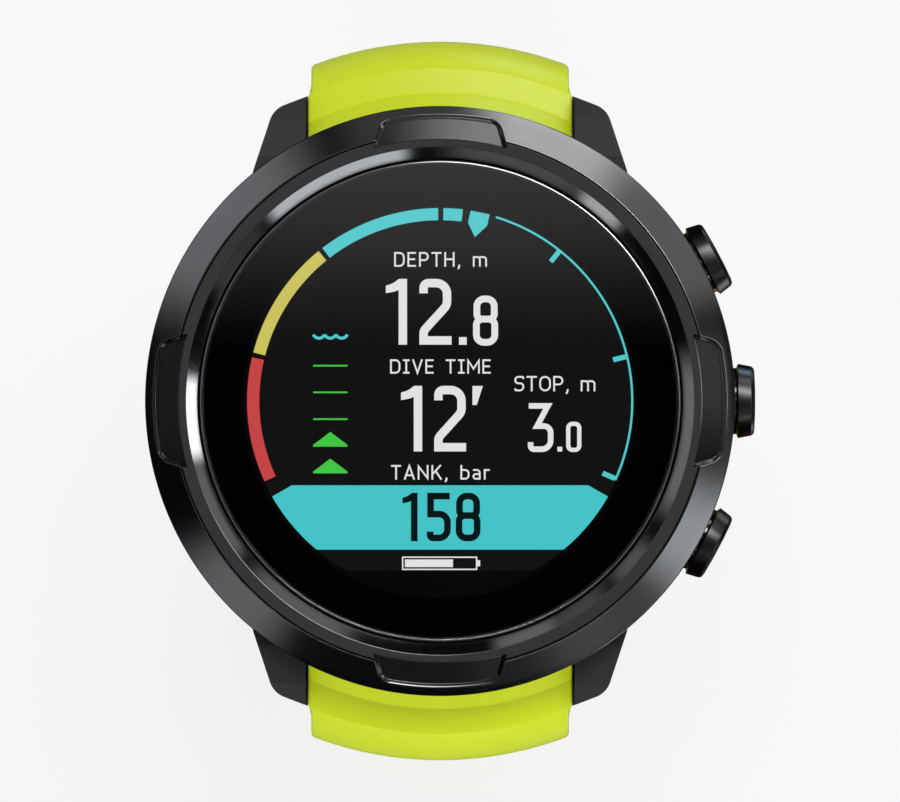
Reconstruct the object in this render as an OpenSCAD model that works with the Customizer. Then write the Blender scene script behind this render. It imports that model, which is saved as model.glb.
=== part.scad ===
// Wrist dive computer: round metal bezel, three push buttons and a rubber strap in two halves.
// Millimetres. The origin is the centre of the flat wrist face of the caseback, +Z points out of
// the display, +Y points to 12 o'clock and +X to 3 o'clock, where the buttons are.
// The strap is unfastened: the short half with the buckle curls inside the long half.

/* [Case] */
// Outer diameter of the bezel
bezel_d = 53; // [52.6:0.1:53.4]
// Height from the wrist face to the top of the bezel
case_h = 16.5; // [16.3:0.1:17.5]
// Width of the gap between a pair of lugs
lug_gap = 24.2; // [24:0.1:24.6]
// Radius of the cavity that holds the electronics
cavity_r = 17.2; // [17.1:0.05:17.3]
// Half the angle that one recessed notch of the bezel takes
notch_half_angle = 13; // [6:0.5:16]

/* [Buttons] */
// Diameter of a button's cap
button_d = 6.7; // [6.2:0.1:6.8]
// How far a button travels inward
button_travel = 1; // [0.6:0.1:1]
// Angle between neighbouring buttons, seen from above
button_angle = 28; // [27:0.5:32]

/* [Strap] */
// Width of the band
band_w = 23.2; // [22:0.1:23.4]
// Thickness of the band
band_t = 3.2; // [2.8:0.1:3.4]
// Radius of the curl of the short half, to the middle of the band
short_curl_r = 19; // [18:0.5:20]
// Angle of the curl of the short half
short_curl_angle = 135; // [120:1:140]
// Radius of the curl of the long half, to the middle of the band
long_curl_r = 20; // [19:0.5:21]
// Length of the flat stretch that the object stands on
long_flat = 22.6; // [21:0.2:26]
// Number of adjustment slots
slot_count = 9; // [3:1:9]
// Distance between neighbouring slots
slot_pitch = 6.5; // [5.5:0.1:6.5]

/* [Hidden] */
$fn = 96;
eps = 0.5;                        // overshoot of a cut past a face
fit = 0.05;                       // radial clearance of a running fit

bezel_r = bezel_d / 2;
case_r = bezel_r - 1.2;           // outer radius of the case under the bezel
back_t = 1.2;                     // thickness of the caseback plate
seat_z = case_h - 5.2;            // underside of the bezel
shelf_z = seat_z - 0.4;           // ledge inside the case that the chassis rests on
ledge_z = case_h - 3.1;           // ledge of the bezel that the lens gasket rests on
ledge_t = 0.8;
lens_r = bezel_r - 5.02;
lens_z = ledge_z + 0.5;
lens_top = case_h - 0.5;
spigot_r = bezel_r - 4;           // top collar of the case that centres the bezel
spigot_top = ledge_z - ledge_t;
upper_r = bezel_r - 6.3;          // cavity above the shelf

lug_hole_r = 0.5;
lug_foot = lug_gap / 2 - 0.2;     // the lower part of a lug stands a little further in,
lug_foot_top = 6.9;               // up to this height, and closes the gap beside the strap
bar_y = 25;                       // axis of the lug spring bars
bar_z = 4.2;
bar_r = 0.9;
tip_r = lug_hole_r - fit;
head_r = 6.3;                     // back of the strap's head, round the bar axis
head_w = lug_gap - 0.5;
head_top = 10.45;
head_low = 0.9;
crown_low = -14;                  // where the crown of the long half fades into the flat band
head_in = 5.8;                    // how far the recess for the head reaches in from the bar
head_wide_z = 4.6;                // the head is as wide as the gap above this height
shoulder_mid = [24.21, 1.5];      // centre of the shoulder's round, from the middle of the dial
shoulder_r = 8.19;
tread_r = 30;                     // outer edge of the tread between shoulder and riser
riser_low = [27.66, 8.2];         // foot of the riser beside the bezel
riser_r = 26.3;                   // top of the riser
lever_x = 8;                      // lever of the release pin at rest
lever_len = 3;
lever_way = 2.6;                  // room for the lever towards the middle of the strap

band_y = 28.6;                    // middle of the band where it hangs straight down
short_z = -7;                     // height of the short curl's centre
long_z = -30;                     // height of the long curl's centre
tail_r = 28;                      // upturn at the end of the long half
tail_angle = 25;
slot_first = 10;                  // distance of the first slot from that end
short_y = band_y - short_curl_r;
long_y = band_y - long_curl_r;
long_mid_z = long_z - long_curl_r;
buckle_bar_y = 1.2;               // bar of the buckle, past the end of the short curl
tongue_w = 2.8;
tongue_room = 0.3;                // gap on each side of the tongue in the strap

button_z = 7.4;
button_angles = [button_angle, 0, -button_angle];
neck_r = 2.98;
stem_r = 1.25;
pocket_x = bezel_r - 5.1;         // floor of the spring pocket
neck_x = bezel_r - 2.3;           // inner face of the button's neck
stem_x = 16.4;                    // inner end of the stem
tube_x = 17.0;                    // inner end of the guide tube
tube_r = 2.2;
switch_x = stem_x - button_travel - 1.8;   // middle of the switch body
board_z = 5.4;
board_t = 0.8;
board_r = 16.2;
post_r = 14.6;                    // circle of the board posts
post_angles = [62, 118, 242, 298];

sensor_pos = [-12.6, 0, 0];
sensor_r = 2.35;
contact_x = 13;
contact_pitch = 2.54;
motor_pos = [-6, -8.3, 8.35];
motor_r = 2;
back_screw_r = 18.7;              // circle of the caseback screws
bezel_screw = [14.4, 19.2];

// ---- shared shapes ----

module ring(r_out, r_in, h) {
    difference() {
        cylinder(r = r_out, h = h);
        translate([0, 0, -eps]) cylinder(r = r_in, h = h + 2 * eps);
    }
}

module torus(mean_r, wire_r) {
    rotate_extrude() translate([mean_r, 0]) circle(r = wire_r, $fn = 32);
}

module rounded_plate(size, r) {
    translate([r, 0, 0]) cube([size.x - 2 * r, size.y, size.z]);
    translate([0, r, 0]) cube([size.x, size.y - 2 * r, size.z]);
    for (x = [r, size.x - r], y = [r, size.y - r])
        translate([x, y, 0]) cylinder(r = r, h = size.z, $fn = 32);
}

// Round bar along +X
module bar_x(r, h) {
    rotate([0, 90, 0]) cylinder(r = r, h = h);
}

// Profile drawn in (y, z), extruded along X and centred on it
module across(width) {
    translate([-width / 2, 0, 0]) rotate([90, 0, 90]) linear_extrude(height = width) children();
}

// Section drawn in (radius, x), swept about an axis along X through (y, z)
module sweep_x(y, z, start, angle) {
    translate([0, y, z]) rotate([start, 0, 0]) rotate([90, 0, 90])
        rotate_extrude(angle = angle) children();
}

module four_corners() {
    for (i = [0, 1], j = [0, 1]) mirror([i, 0, 0]) mirror([0, j, 0]) children();
}

// Wire coil about +Z from z = 0 to z = length
module coil(mean_r, wire_r, length, turns) {
    sides = 6;
    steps_per_turn = 12;
    steps = steps_per_turn * turns;
    rise = (length - 2 * wire_r) / steps;
    points = [for (i = [0:steps], k = [0:sides - 1])
        let (a = i * 360 / steps_per_turn, b = k * 360 / sides, r = mean_r + wire_r * cos(b))
        [r * cos(a), r * sin(a), wire_r + i * rise + wire_r * sin(b)]];
    skin = [for (i = [0:steps - 1], k = [0:sides - 1], half = [0, 1])
        let (n = (k + 1) % sides, low = i * sides, high = low + sides)
        half == 0 ? [low + k, high + k, high + n] : [low + k, high + n, low + n]];
    first_cap = [[for (k = [0:sides - 1]) k]];
    last_cap = [[for (k = [sides - 1:-1:0]) steps * sides + k]];
    polyhedron(points, concat(first_cap, skin, last_cap));
}

// ---- case ----

// Outline of one lug seen from above, with its outer corner rounded
module lug_plan() {
    polygon([[lug_foot, 14], [lug_foot, 27.45], [14.1, 26.6], [15.3, 25.29],
        [16.8, 20.75], [18.2, 14]]);
    translate([13.26, 24.62]) circle(r = 2.15);
}

// Outline of one lug seen from the side
module lug_side() {
    polygon([[12, back_t], [12, seat_z], [22, seat_z], [25.4, seat_z - 0.9], [27.2, seat_z - 2.4],
        [27.6, seat_z - 4.2], [27.6, 3.4], [26.6, 1.9], [25, back_t]]);
}

module lug() {
    intersection() {
        linear_extrude(height = seat_z) lug_plan();
        across(2 * bezel_r) lug_side();
    }
}

module case_outside() {
    rotate_extrude() polygon([[0, back_t], [case_r - 4.4, back_t], [case_r - 3.3, back_t + 0.8],
        [case_r - 0.7, 6.8], [case_r, 9.6], [case_r, seat_z], [spigot_r, seat_z],
        [spigot_r, spigot_top], [0, spigot_top]]);
    four_corners() lug();
}

// Room for the head of the strap to turn about the bar
module strap_room() {
    translate([-lug_foot, bar_y, bar_z]) bar_x(head_r + 0.3, 2 * lug_foot);
    intersection() {
        translate([-lug_gap / 2, bar_y, bar_z]) bar_x(2 * head_r, lug_gap);
        translate([-lug_gap / 2, bar_y - head_in, lug_foot_top]) cube([lug_gap, head_in + head_r, case_h]);
    }
}

module button_bore() {
    translate([pocket_x, 0, button_z]) bar_x(neck_r + fit, bezel_r);
    translate([cavity_r - 2, 0, button_z]) bar_x(tube_r, pocket_x);
}

module case_body() {
    color([0.2, 0.2, 0.2]) difference() {
        case_outside();
        translate([0, 0, -eps]) cylinder(r = cavity_r, h = case_h);
        translate([0, 0, shelf_z]) cylinder(r = upper_r, h = case_h);
        translate([0, 0, spigot_top - 0.85]) ring(bezel_r, spigot_r - 0.65, 0.7);
        for (j = [0, 1]) mirror([0, j, 0]) strap_room();
        for (a = button_angles) rotate([0, 0, a]) button_bore();
        for (j = [0, 1]) mirror([0, j, 0])
            translate([-lug_gap / 2 - 1.3, bar_y, bar_z]) bar_x(lug_hole_r, lug_gap + 2.6);
        for (a = [45:90:315]) rotate([0, 0, a])
            translate([back_screw_r, 0, 0]) cylinder(r = 0.8, h = 4.4, $fn = 32);
        four_corners() translate([bezel_screw.x, bezel_screw.y, -eps]) {
            cylinder(r = 1.5, h = 4.4 + eps, $fn = 32);
            cylinder(r = 0.8, h = case_h, $fn = 32);
        }
    }
}

module bezel_ring() {
    rotate_extrude() polygon([
        [spigot_r + 0.06, seat_z], [bezel_r - 0.25, seat_z], [bezel_r, seat_z + 0.25],
        [bezel_r, case_h - 1.9], [bezel_r - 0.1, case_h - 1.8], [bezel_r - 2.45, case_h - 0.2],
        [bezel_r - 2.5, case_h - 0.3], [bezel_r - 2.6, case_h - 0.3], [bezel_r - 2.6, case_h],
        [bezel_r - 3.68, case_h], [bezel_r - 4.7, case_h - 0.6], [bezel_r - 4.9, case_h - 0.8],
        [bezel_r - 4.9, ledge_z], [upper_r - 0.6, ledge_z], [upper_r - 0.6, spigot_top],
        [spigot_r + 0.06, spigot_top]]);
}

// Recess in the sloping outer face of the bezel
module bezel_notch() {
    rotate([0, 0, -notch_half_angle]) rotate_extrude(angle = 2 * notch_half_angle)
        polygon([[bezel_r - 3, case_h - 0.62], [bezel_r - 1.15, case_h - 1.5],
            [bezel_r - 1.15, case_h + 1], [bezel_r - 3, case_h + 1]]);
}

module bezel() {
    color([0.32, 0.33, 0.34]) difference() {
        bezel_ring();
        for (a = [0:90:270]) rotate([0, 0, a]) bezel_notch();
        four_corners() translate([bezel_screw.x, bezel_screw.y, seat_z - eps])
            cylinder(r = 0.8, h = 2.3 + eps, $fn = 32);
    }
}

module bezel_gasket() {
    color([0.12, 0.12, 0.12]) translate([0, 0, spigot_top - 0.5]) torus(spigot_r - 0.3, 0.34);
}

module bezel_screws() {
    color([0.7, 0.7, 0.72]) four_corners() translate([bezel_screw.x, bezel_screw.y, 3.2])
        difference() {
            union() {
                cylinder(r = 1.4, h = 1.2, $fn = 32);
                cylinder(r = 0.8, h = seat_z - 1, $fn = 32);
            }
            translate([0, 0, -eps]) cylinder(r = 0.7, h = 0.6 + eps, $fn = 6);
        }
}

module lens() {
    color([0.75, 0.82, 0.86, 0.4]) rotate_extrude() polygon([[0, lens_z], [lens_r, lens_z],
        [lens_r, lens_top - 0.15], [lens_r - 0.15, lens_top], [0, lens_top]]);
}

module lens_gasket() {
    color([0.1, 0.1, 0.1]) translate([0, 0, ledge_z]) ring(lens_r - 0.1, upper_r - 0.4, lens_z - ledge_z);
}

module caseback() {
    color([0.55, 0.56, 0.58]) difference() {
        union() {
            intersection() {
                cylinder(r = back_screw_r + 1.9, h = back_t);
                translate([-30, -18.6, 0]) cube([60, 37.2, back_t]);
            }
            difference() {
                cylinder(r = cavity_r - 0.1, h = 3);
                translate([0, 0, back_t]) cylinder(r = cavity_r - 2, h = 3);
                translate([0, 0, 1.7]) ring(cavity_r + 1, cavity_r - 1, 1);
            }
            intersection() {
                translate(sensor_pos) cylinder(r = 3.1, h = 3);
                cylinder(r = cavity_r - 1.5, h = 3);
            }
        }
        translate(sensor_pos + [0, 0, -eps]) {
            cylinder(r = 2.65, h = 0.45 + eps, $fn = 48);
            cylinder(r = sensor_r + 0.07, h = 6, $fn = 48);
        }
        for (i = [-1.5:1:1.5]) translate([contact_x, i * contact_pitch, -eps])
            cylinder(r = 0.7, h = 3, $fn = 32);
        for (a = [45:90:315]) rotate([0, 0, a]) translate([back_screw_r, 0, -eps]) {
            cylinder(r = 1.5, h = 0.75 + eps, $fn = 32);
            cylinder(r = 0.85, h = 3, $fn = 32);
        }
    }
}

module caseback_gasket() {
    color([0.12, 0.12, 0.12]) translate([0, 0, 2.2]) torus(cavity_r - 0.52, 0.46);
}

module caseback_screws() {
    color([0.75, 0.75, 0.77]) for (a = [45:90:315]) rotate([0, 0, a])
        translate([back_screw_r, 0, 0.1]) difference() {
            union() {
                cylinder(r = 1.4, h = 0.65, $fn = 32);
                cylinder(r = 0.8, h = 4.2, $fn = 32);
            }
            translate([-1.2, -0.2, -eps]) cube([2.4, 0.4, eps + 0.3]);
            translate([-0.2, -1.2, -eps]) cube([0.4, 2.4, eps + 0.3]);
        }
}

module charging_contacts() {
    color([0.85, 0.68, 0.3]) for (i = [-1.5:1:1.5]) translate([contact_x, i * contact_pitch, 0]) {
        cylinder(r = 0.7, h = 1.4, $fn = 32);
        cylinder(r = 0.35, h = 3, $fn = 32);
    }
}

module pressure_sensor() {
    color([0.7, 0.7, 0.7]) translate(sensor_pos) rotate_extrude($fn = 48) polygon([[0, 0.5],
        [sensor_r, 0.5], [sensor_r, 1.3], [sensor_r - 0.46, 1.3], [sensor_r - 0.46, 2],
        [sensor_r, 2], [sensor_r, 3.4], [sensor_r - 0.7, 3.4], [sensor_r - 0.7, 4.2], [0, 4.2]]);
}

module sensor_o_ring() {
    color([0.1, 0.1, 0.1]) translate(sensor_pos + [0, 0, 1.65]) torus(sensor_r - 0.2, 0.25);
}

module sensor_cover() {
    color([0.6, 0.6, 0.62]) translate(sensor_pos + [0, 0, 0.03]) difference() {
        cylinder(r = 2.62, h = 0.4, $fn = 48);
        for (a = [0:60:300]) rotate([0, 0, a]) translate([1.4, 0, -eps])
            cylinder(r = 0.35, h = 2, $fn = 24);
        translate([0, 0, -eps]) cylinder(r = 0.35, h = 2, $fn = 24);
    }
}

// ---- electronics ----

module display_panel() {
    color([0.04, 0.04, 0.05]) translate([0, 0, spigot_top]) cylinder(r = 18.6, h = 0.95);
}

module display_backlight() {
    color([0.9, 0.92, 0.92]) translate([0, 0, shelf_z + 1.06])
        cylinder(r = 18.4, h = spigot_top - shelf_z - 1.08);
}

// Thin ribbon from under the backlight down to its connector on the board
module display_flex() {
    low = board_z + board_t + 0.82;
    high = shelf_z + 0.82;
    color([0.8, 0.5, 0.15]) across(8) {
        translate([-16.6, low]) square([2.8, 0.2]);
        translate([-16.6, low]) square([0.2, high + 0.2 - low]);
        translate([-16.6, high]) square([3, 0.2]);
    }
}

module chassis() {
    color([0.25, 0.25, 0.27]) difference() {
        union() {
            translate([0, 0, shelf_z]) cylinder(r = upper_r - 0.1, h = 0.8);
            translate([0, 0, shelf_z]) ring(upper_r - 0.1, upper_r - 0.8, spigot_top - shelf_z);
            for (a = post_angles) rotate([0, 0, a]) translate([post_r, 0, board_z + board_t])
                cylinder(r = 1.5, h = shelf_z - board_z - board_t + 0.2, $fn = 32);
        }
        translate([0, 0, shelf_z - eps]) cylinder(r = 9, h = 2);
        translate([-4.5, -17, shelf_z - eps]) cube([9, 0.8, 2]);
        for (a = post_angles) rotate([0, 0, a]) translate([post_r, 0, board_z])
            cylinder(r = 0.6, h = 4, $fn = 32);
    }
}

module main_board() {
    color([0.08, 0.3, 0.16]) translate([0, 0, board_z]) difference() {
        cylinder(r = board_r, h = board_t);
        for (a = button_angles) rotate([0, 0, a]) translate([15, -2.7, -eps]) cube([4, 5.4, 3]);
        for (a = post_angles) rotate([0, 0, a]) translate([post_r, 0, -eps])
            cylinder(r = 0.65, h = 3, $fn = 32);
    }
}

module board_chips() {
    chips = [[[-8.5, 1, 0], [7, 7, 1]], [[1.5, 3, 0], [5, 4, 0.9]], [[-13, -4, 0], [4, 4, 0.9]],
        [[-1.5, 10.2, 0], [3.2, 2.6, 1.2]], [[-4.2, -15.6, 0], [8.4, 2.2, 0.8]]];
    color([0.1, 0.1, 0.11]) for (chip = chips)
        translate(chip[0] + [0, 0, board_z + board_t]) cube(chip[1]);
}

module board_screws() {
    color([0.75, 0.75, 0.77]) for (a = post_angles) rotate([0, 0, a])
        translate([post_r, 0, board_z - 0.6]) {
            cylinder(r = 1.1, h = 0.6, $fn = 32);
            cylinder(r = 0.6, h = 3.4, $fn = 32);
        }
}

module battery() {
    color([0.75, 0.76, 0.78]) translate([-9.2, -10.4, 1.75]) rounded_plate([20, 20.8, 3.3], 1.5);
}

module antenna() {
    color([0.8, 0.55, 0.2]) translate([0, 0, shelf_z + 0.85]) ring(19.25, 18.8, 0.75);
}

module vibration_motor() {
    color([0.78, 0.78, 0.8]) translate(motor_pos) difference() {
        bar_x(motor_r, 8);
        translate([6.8, 0, 0]) bar_x(0.4, 2);
    }
}

// Half-round weight on the motor's shaft, hanging at its lowest
module motor_weight() {
    color([0.6, 0.58, 0.5]) translate(motor_pos) {
        translate([6.9, 0, 0]) bar_x(0.35, 4.3);
        difference() {
            translate([8.3, 0, 0]) bar_x(1.85, 2.7);
            translate([8, -3, 0.35]) cube([4, 6, 3]);
        }
    }
}

module buzzer() {
    color([0.85, 0.75, 0.4]) translate([0, 0, back_t]) cylinder(r = 6, h = 0.4);
}

// ---- buttons: drawn along +Z, with the dial's axis at z = 0, then turned to point outwards ----

module at_button(index) {
    rotate([0, 0, button_angles[index]]) translate([0, 0, button_z]) rotate([0, 90, 0]) children();
}

module button(index) {
    cap_r = button_d / 2;
    base = bezel_r + 0.3;
    groove = stem_r - 0.62;
    dome = [for (a = [0:10:90]) [cap_r - 0.5 + 0.3 * cos(a), base + 1.2 + 0.3 * sin(a)]];
    grooves = [for (z = [18.3, 19.7])
        each [[stem_r, z], [groove, z], [groove, z + 0.7], [stem_r, z + 0.7]]];
    color([0.3, 0.3, 0.31]) at_button(index) rotate_extrude() polygon(concat(
        [[0, stem_x], [stem_r - 0.15, stem_x], [stem_r - 0.15, stem_x + 0.3], [0.85, stem_x + 0.3],
            [0.85, stem_x + 0.6], [stem_r, stem_x + 0.6]],
        grooves,
        [[stem_r, neck_x], [neck_r, neck_x], [neck_r, base], [cap_r, base], [cap_r, base + 0.2]],
        dome, [[0, base + 1.55]]));
}

module button_spring(index) {
    color([0.75, 0.75, 0.77]) at_button(index) translate([0, 0, pocket_x + 0.02])
        coil(2.2, 0.22, neck_x - pocket_x - 0.04, 3);
}

module button_seals(index) {
    color([0.1, 0.1, 0.1]) at_button(index) for (z = [18.65, 20.05])
        translate([0, 0, z]) torus(stem_r - 0.3, 0.31);
}

module button_tube(index) {
    color([0.65, 0.65, 0.67]) at_button(index) intersection() {
        translate([0, 0, tube_x]) ring(tube_r, stem_r + fit, pocket_x - tube_x);
        translate([button_z - 10, 0, 0]) rotate([0, 90, 0]) ring(bezel_r, 17.05, 20);
    }
}

module button_clip(index) {
    color([0.7, 0.7, 0.72]) at_button(index) translate([0, 0, stem_x + 0.32]) difference() {
        cylinder(r = 1.9, h = 0.24, $fn = 32);
        translate([0, 0, -eps]) cylinder(r = 0.88, h = 2, $fn = 32);
        translate([-3, -0.6, -eps]) cube([3, 1.2, 2]);
    }
}

module button_switch(index) {
    color([0.15, 0.15, 0.16]) rotate([0, 0, button_angles[index]])
        translate([switch_x, 0, board_z + board_t]) {
            translate([-1, -1.7, 0]) cube([2, 3.4, 2.4]);
            translate([1, 0, button_z - board_z - board_t]) bar_x(0.6, 0.7);
        }
}

// ---- strap ----

// Points of an arc in (y, z), from one angle to another, about 3 degrees apart
function arc(y, z, r, start, end) = let (n = ceil(abs(end - start) / 3))
    [for (i = [0:n]) let (a = start + (end - start) * i / n) [y + r * cos(a), z + r * sin(a)]];

// Outer limit of a strap half: riser, tread and rounded shoulder, all concentric with the dial,
// then a cone that fades into the flat band at height low
module head_lathe(low) {
    rotate_extrude($fn = 180) polygon(concat([[0, low], [band_y + band_t / 2 - 0.3, low]],
        arc(shoulder_mid.x, shoulder_mid.y, shoulder_r, 0, 45),
        [riser_low, [riser_r, head_top], [0, head_top]]));
}

// Side view of a strap half: the head, round at the back where it turns in the case, and the band.
// The outer face of the head is left full, for the lathe shape to trim.
module strap_side(low, inner, outer) {
    polygon(concat([[bar_y + 9, head_top]],
        arc(bar_y, bar_z, head_r, asin((head_top - bar_z) / head_r),
            180 + asin((bar_z - head_low) / head_r)),
        [[band_y - band_t / 2, head_low]], inner, outer, [[bar_y + 9, low]]));
}

// One strap half without its holes; low is the height where its first curl starts
module strap_half(low, inner, outer) {
    reach = 70;                   // more than the strap measures any way from the origin
    difference() {
        union() {
            intersection() {
                across(band_w) strap_side(low, inner, outer);
                union() {
                    head_lathe(low);
                    translate([-bezel_r, -reach, -reach])
                        cube([2 * bezel_r, reach + band_y + band_t / 2, reach + shoulder_mid.y]);
                }
            }
            intersection() {
                head_lathe(low);
                translate([0, 0, low]) cylinder(r = tread_r, h = reach);
                across(head_w) intersection() {
                    strap_side(low, inner, outer);
                    translate([0, head_wide_z]) square(reach);
                }
            }
        }
        translate([-lug_gap / 2, bar_y, bar_z]) bar_x(bar_r + fit, lug_gap);
        translate([lever_x - lever_way, bar_y - 1.2, -lever_len])
            cube([lever_way + 1.2, 2.4, lever_len + bar_z]);
    }
}

// Frame at the end of the short half: +Y along the band, +Z to its outer side
module at_short_end() {
    translate([0, short_y + short_curl_r * cos(short_curl_angle),
            short_z - short_curl_r * sin(short_curl_angle)])
        rotate([270 - short_curl_angle, 0, 0]) children();
}

module strap_short() {
    color([0.75, 0.81, 0.16]) difference() {
        union() {
            strap_half(short_z,
                arc(short_y, short_z, short_curl_r - band_t / 2, 0, -short_curl_angle),
                arc(short_y, short_z, short_curl_r + band_t / 2, -short_curl_angle, 0));
            at_short_end() {
                translate([-band_w / 2, buckle_bar_y, 0]) bar_x(2.15, band_w);
                translate([-band_w / 2, -0.05, -band_t / 2 + 0.02])
                    cube([band_w, buckle_bar_y, band_t - 0.04]);
            }
        }
        at_short_end() {
            translate([-15, buckle_bar_y, 0]) bar_x(bar_r + 0.01, 30);
            translate([-tongue_w / 2 - tongue_room, buckle_bar_y - 4.4, -4])
                cube([tongue_w + 2 * tongue_room, 8, 8]);
        }
    }
}

// Frame at a distance from the end of the long half: +Y towards that end, +Z to the outer side
module at_tail(distance) {
    upturn = tail_r * tail_angle * PI / 180;
    curl_start = upturn + long_flat;
    if (distance < upturn)
        translate([0, long_y - long_flat, long_mid_z + tail_r])
            rotate([-(tail_angle - distance * 180 / PI / tail_r), 0, 0])
                translate([0, 0, -tail_r]) rotate([180, 0, 0]) children();
    else if (distance < curl_start)
        translate([0, long_y - (curl_start - distance), long_mid_z]) rotate([180, 0, 0]) children();
    else
        translate([0, long_y, long_z])
            rotate([(distance - curl_start) * 180 / PI / long_curl_r, 0, 0])
                translate([0, 0, -long_curl_r]) rotate([180, 0, 0]) children();
}

module strap_slot() {
    half = 1.3;
    translate([-1, -half, -3]) cube([2, 2 * half, 6]);
    for (x = [-1, 1]) translate([x, 0, -3]) cylinder(r = half, h = 6, $fn = 32);
}

// What is cut away to round the end of the long half
module tip_corners() {
    past_tip = 3;
    translate([0, 0, -band_t - 1]) difference() {
        translate([-band_w, -band_w / 2, 0]) cube([2 * band_w, past_tip + band_w / 2, 2 * band_t + 1]);
        translate([0, -band_w / 2, -eps])
            cylinder(r = band_w / 2 + 0.3, h = 2 * band_t + 1 + 2 * eps, $fn = 96);
    }
}

// Drawn on the +Y side and mirrored to the 6 o'clock side
module strap_long() {
    flat_end = long_y - long_flat;
    tail_z = long_mid_z + tail_r;
    color([0.75, 0.81, 0.16]) mirror([0, 1, 0]) difference() {
        strap_half(crown_low,
            concat(arc(long_y, long_z, long_curl_r - band_t / 2, 0, -90),
                arc(flat_end, tail_z, tail_r - band_t / 2, -90, -90 - tail_angle)),
            concat(arc(flat_end, tail_z, tail_r + band_t / 2, -90 - tail_angle, -90),
                arc(long_y, long_z, long_curl_r + band_t / 2, -90, 0),
                [[band_y + band_t / 2, crown_low]]));
        for (i = [0:slot_count - 1]) at_tail(slot_first + i * slot_pitch) strap_slot();
        at_tail(0) tip_corners();
    }
}

// Hollow spring bar: a fixed tip at the -X end and the release pin in the +X end
module lug_bar() {
    color([0.75, 0.75, 0.77]) translate([0, bar_y, bar_z]) difference() {
        union() {
            translate([-head_w / 2, 0, 0]) bar_x(bar_r, head_w);
            translate([-lug_gap / 2 - 1.1, 0, 0]) bar_x(tip_r, 3);
        }
        translate([2.5, 0, 0]) bar_x(0.62, 12);
        translate([lever_x - 1.8, -0.45, -lever_len]) cube([2.3, 0.9, lever_len]);
    }
}

// Pin with the small lever that a fingernail pulls
module release_pin() {
    color([0.7, 0.7, 0.72]) translate([0, bar_y, bar_z]) {
        translate([5, 0, 0]) bar_x(0.57, 6.4);
        translate([11, 0, 0]) bar_x(tip_r, lug_gap / 2 - 9.9);
        translate([lever_x, 0, -lever_len]) cylinder(r = 0.4, h = lever_len, $fn = 32);
        translate([lever_x, 0, -lever_len - 0.1]) cylinder(r = 0.8, h = 1, $fn = 32);
    }
}

module release_spring() {
    color([0.75, 0.75, 0.77]) translate([2.52, bar_y, bar_z]) rotate([0, 90, 0])
        coil(0.44, 0.12, 2.46, 4);
}

module buckle_bar() {
    color([0.7, 0.7, 0.72]) at_short_end()
        translate([-13.4, buckle_bar_y, 0]) bar_x(bar_r, 26.8);
}

arm_in = band_w / 2 + 0.3;        // inner face of a buckle arm
arm_w = 2.3;
frame_len = 11.6;                 // from the bar to the far bar of the frame

module buckle_frame() {
    color([0.6, 0.6, 0.62]) at_short_end() translate([0, buckle_bar_y, 0]) difference() {
        union() {
            for (x = [-arm_in - arm_w, arm_in]) translate([x, 0, 0]) {
                bar_x(1.7, arm_w);
                translate([0, frame_len, 0]) bar_x(1.25, arm_w);
                translate([0, 0, -1.25]) cube([arm_w, frame_len, 2.5]);
            }
            translate([-arm_in - arm_w, frame_len, 0]) bar_x(1.25, 2 * (arm_in + arm_w));
        }
        translate([-13.6, 0, 0]) bar_x(bar_r + fit, 27.2);
        translate([-1.6, frame_len - 3, 1]) cube([3.2, 6, 2]);
    }
}

module buckle_tongue() {
    color([0.7, 0.7, 0.72]) at_short_end() translate([0, buckle_bar_y, 0]) difference() {
        union() {
            translate([-tongue_w / 2, 0, 0]) bar_x(1.9, tongue_w);
            translate([-tongue_w / 2, 0.6, 1.05]) cube([tongue_w, frame_len + 0.6, 0.85]);
        }
        translate([-3, 0, 0]) bar_x(bar_r + fit, 6);
    }
}

keeper_gap = 3.7;                 // room above the band for the tail of the long half
keeper_wall = 1.3;

// Closed loop round the band, angle measured back from the end of the curl
module keeper(from_end, angle) {
    r = short_curl_r - band_t / 2 - 0.15;
    depth = band_t + 0.15 + keeper_gap;
    sweep_x(short_y, short_z, -short_curl_angle + from_end, angle) difference() {
        translate([r - keeper_wall, -band_w / 2 - 0.2 - keeper_wall])
            square([depth + 2 * keeper_wall, band_w + 0.4 + 2 * keeper_wall]);
        translate([r, -band_w / 2 - 0.2]) square([depth, band_w + 0.4]);
    }
}

module keeper_fixed() {
    color([0.75, 0.81, 0.16]) keeper(17, 13);
}

module keeper_free() {
    color([0.75, 0.81, 0.16]) keeper(62, 13);
}

case_body();
bezel();
bezel_gasket();
bezel_screws();
lens();
lens_gasket();
caseback();
caseback_gasket();
caseback_screws();
charging_contacts();
pressure_sensor();
sensor_o_ring();
sensor_cover();
display_panel();
display_backlight();
display_flex();
chassis();
main_board();
board_chips();
board_screws();
battery();
antenna();
vibration_motor();
motor_weight();
buzzer();
button(0);  // button_upper
button(1);  // button_middle
button(2);  // button_lower
button_spring(0);  // button_spring_upper
button_spring(1);  // button_spring_middle
button_spring(2);  // button_spring_lower
button_seals(0);  // button_seals_upper
button_seals(1);  // button_seals_middle
button_seals(2);  // button_seals_lower
button_tube(0);  // button_tube_upper
button_tube(1);  // button_tube_middle
button_tube(2);  // button_tube_lower
button_clip(0);  // button_clip_upper
button_clip(1);  // button_clip_middle
button_clip(2);  // button_clip_lower
button_switch(0);  // button_switch_upper
button_switch(1);  // button_switch_middle
button_switch(2);  // button_switch_lower
strap_short();
strap_long();
lug_bar();  // lug_bar_short
mirror([0, 1, 0]) lug_bar();  // lug_bar_long
release_pin();  // release_pin_short
mirror([0, 1, 0]) release_pin();  // release_pin_long
release_spring();  // release_spring_short
mirror([0, 1, 0]) release_spring();  // release_spring_long
buckle_frame();
buckle_tongue();
buckle_bar();
keeper_fixed();
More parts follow.
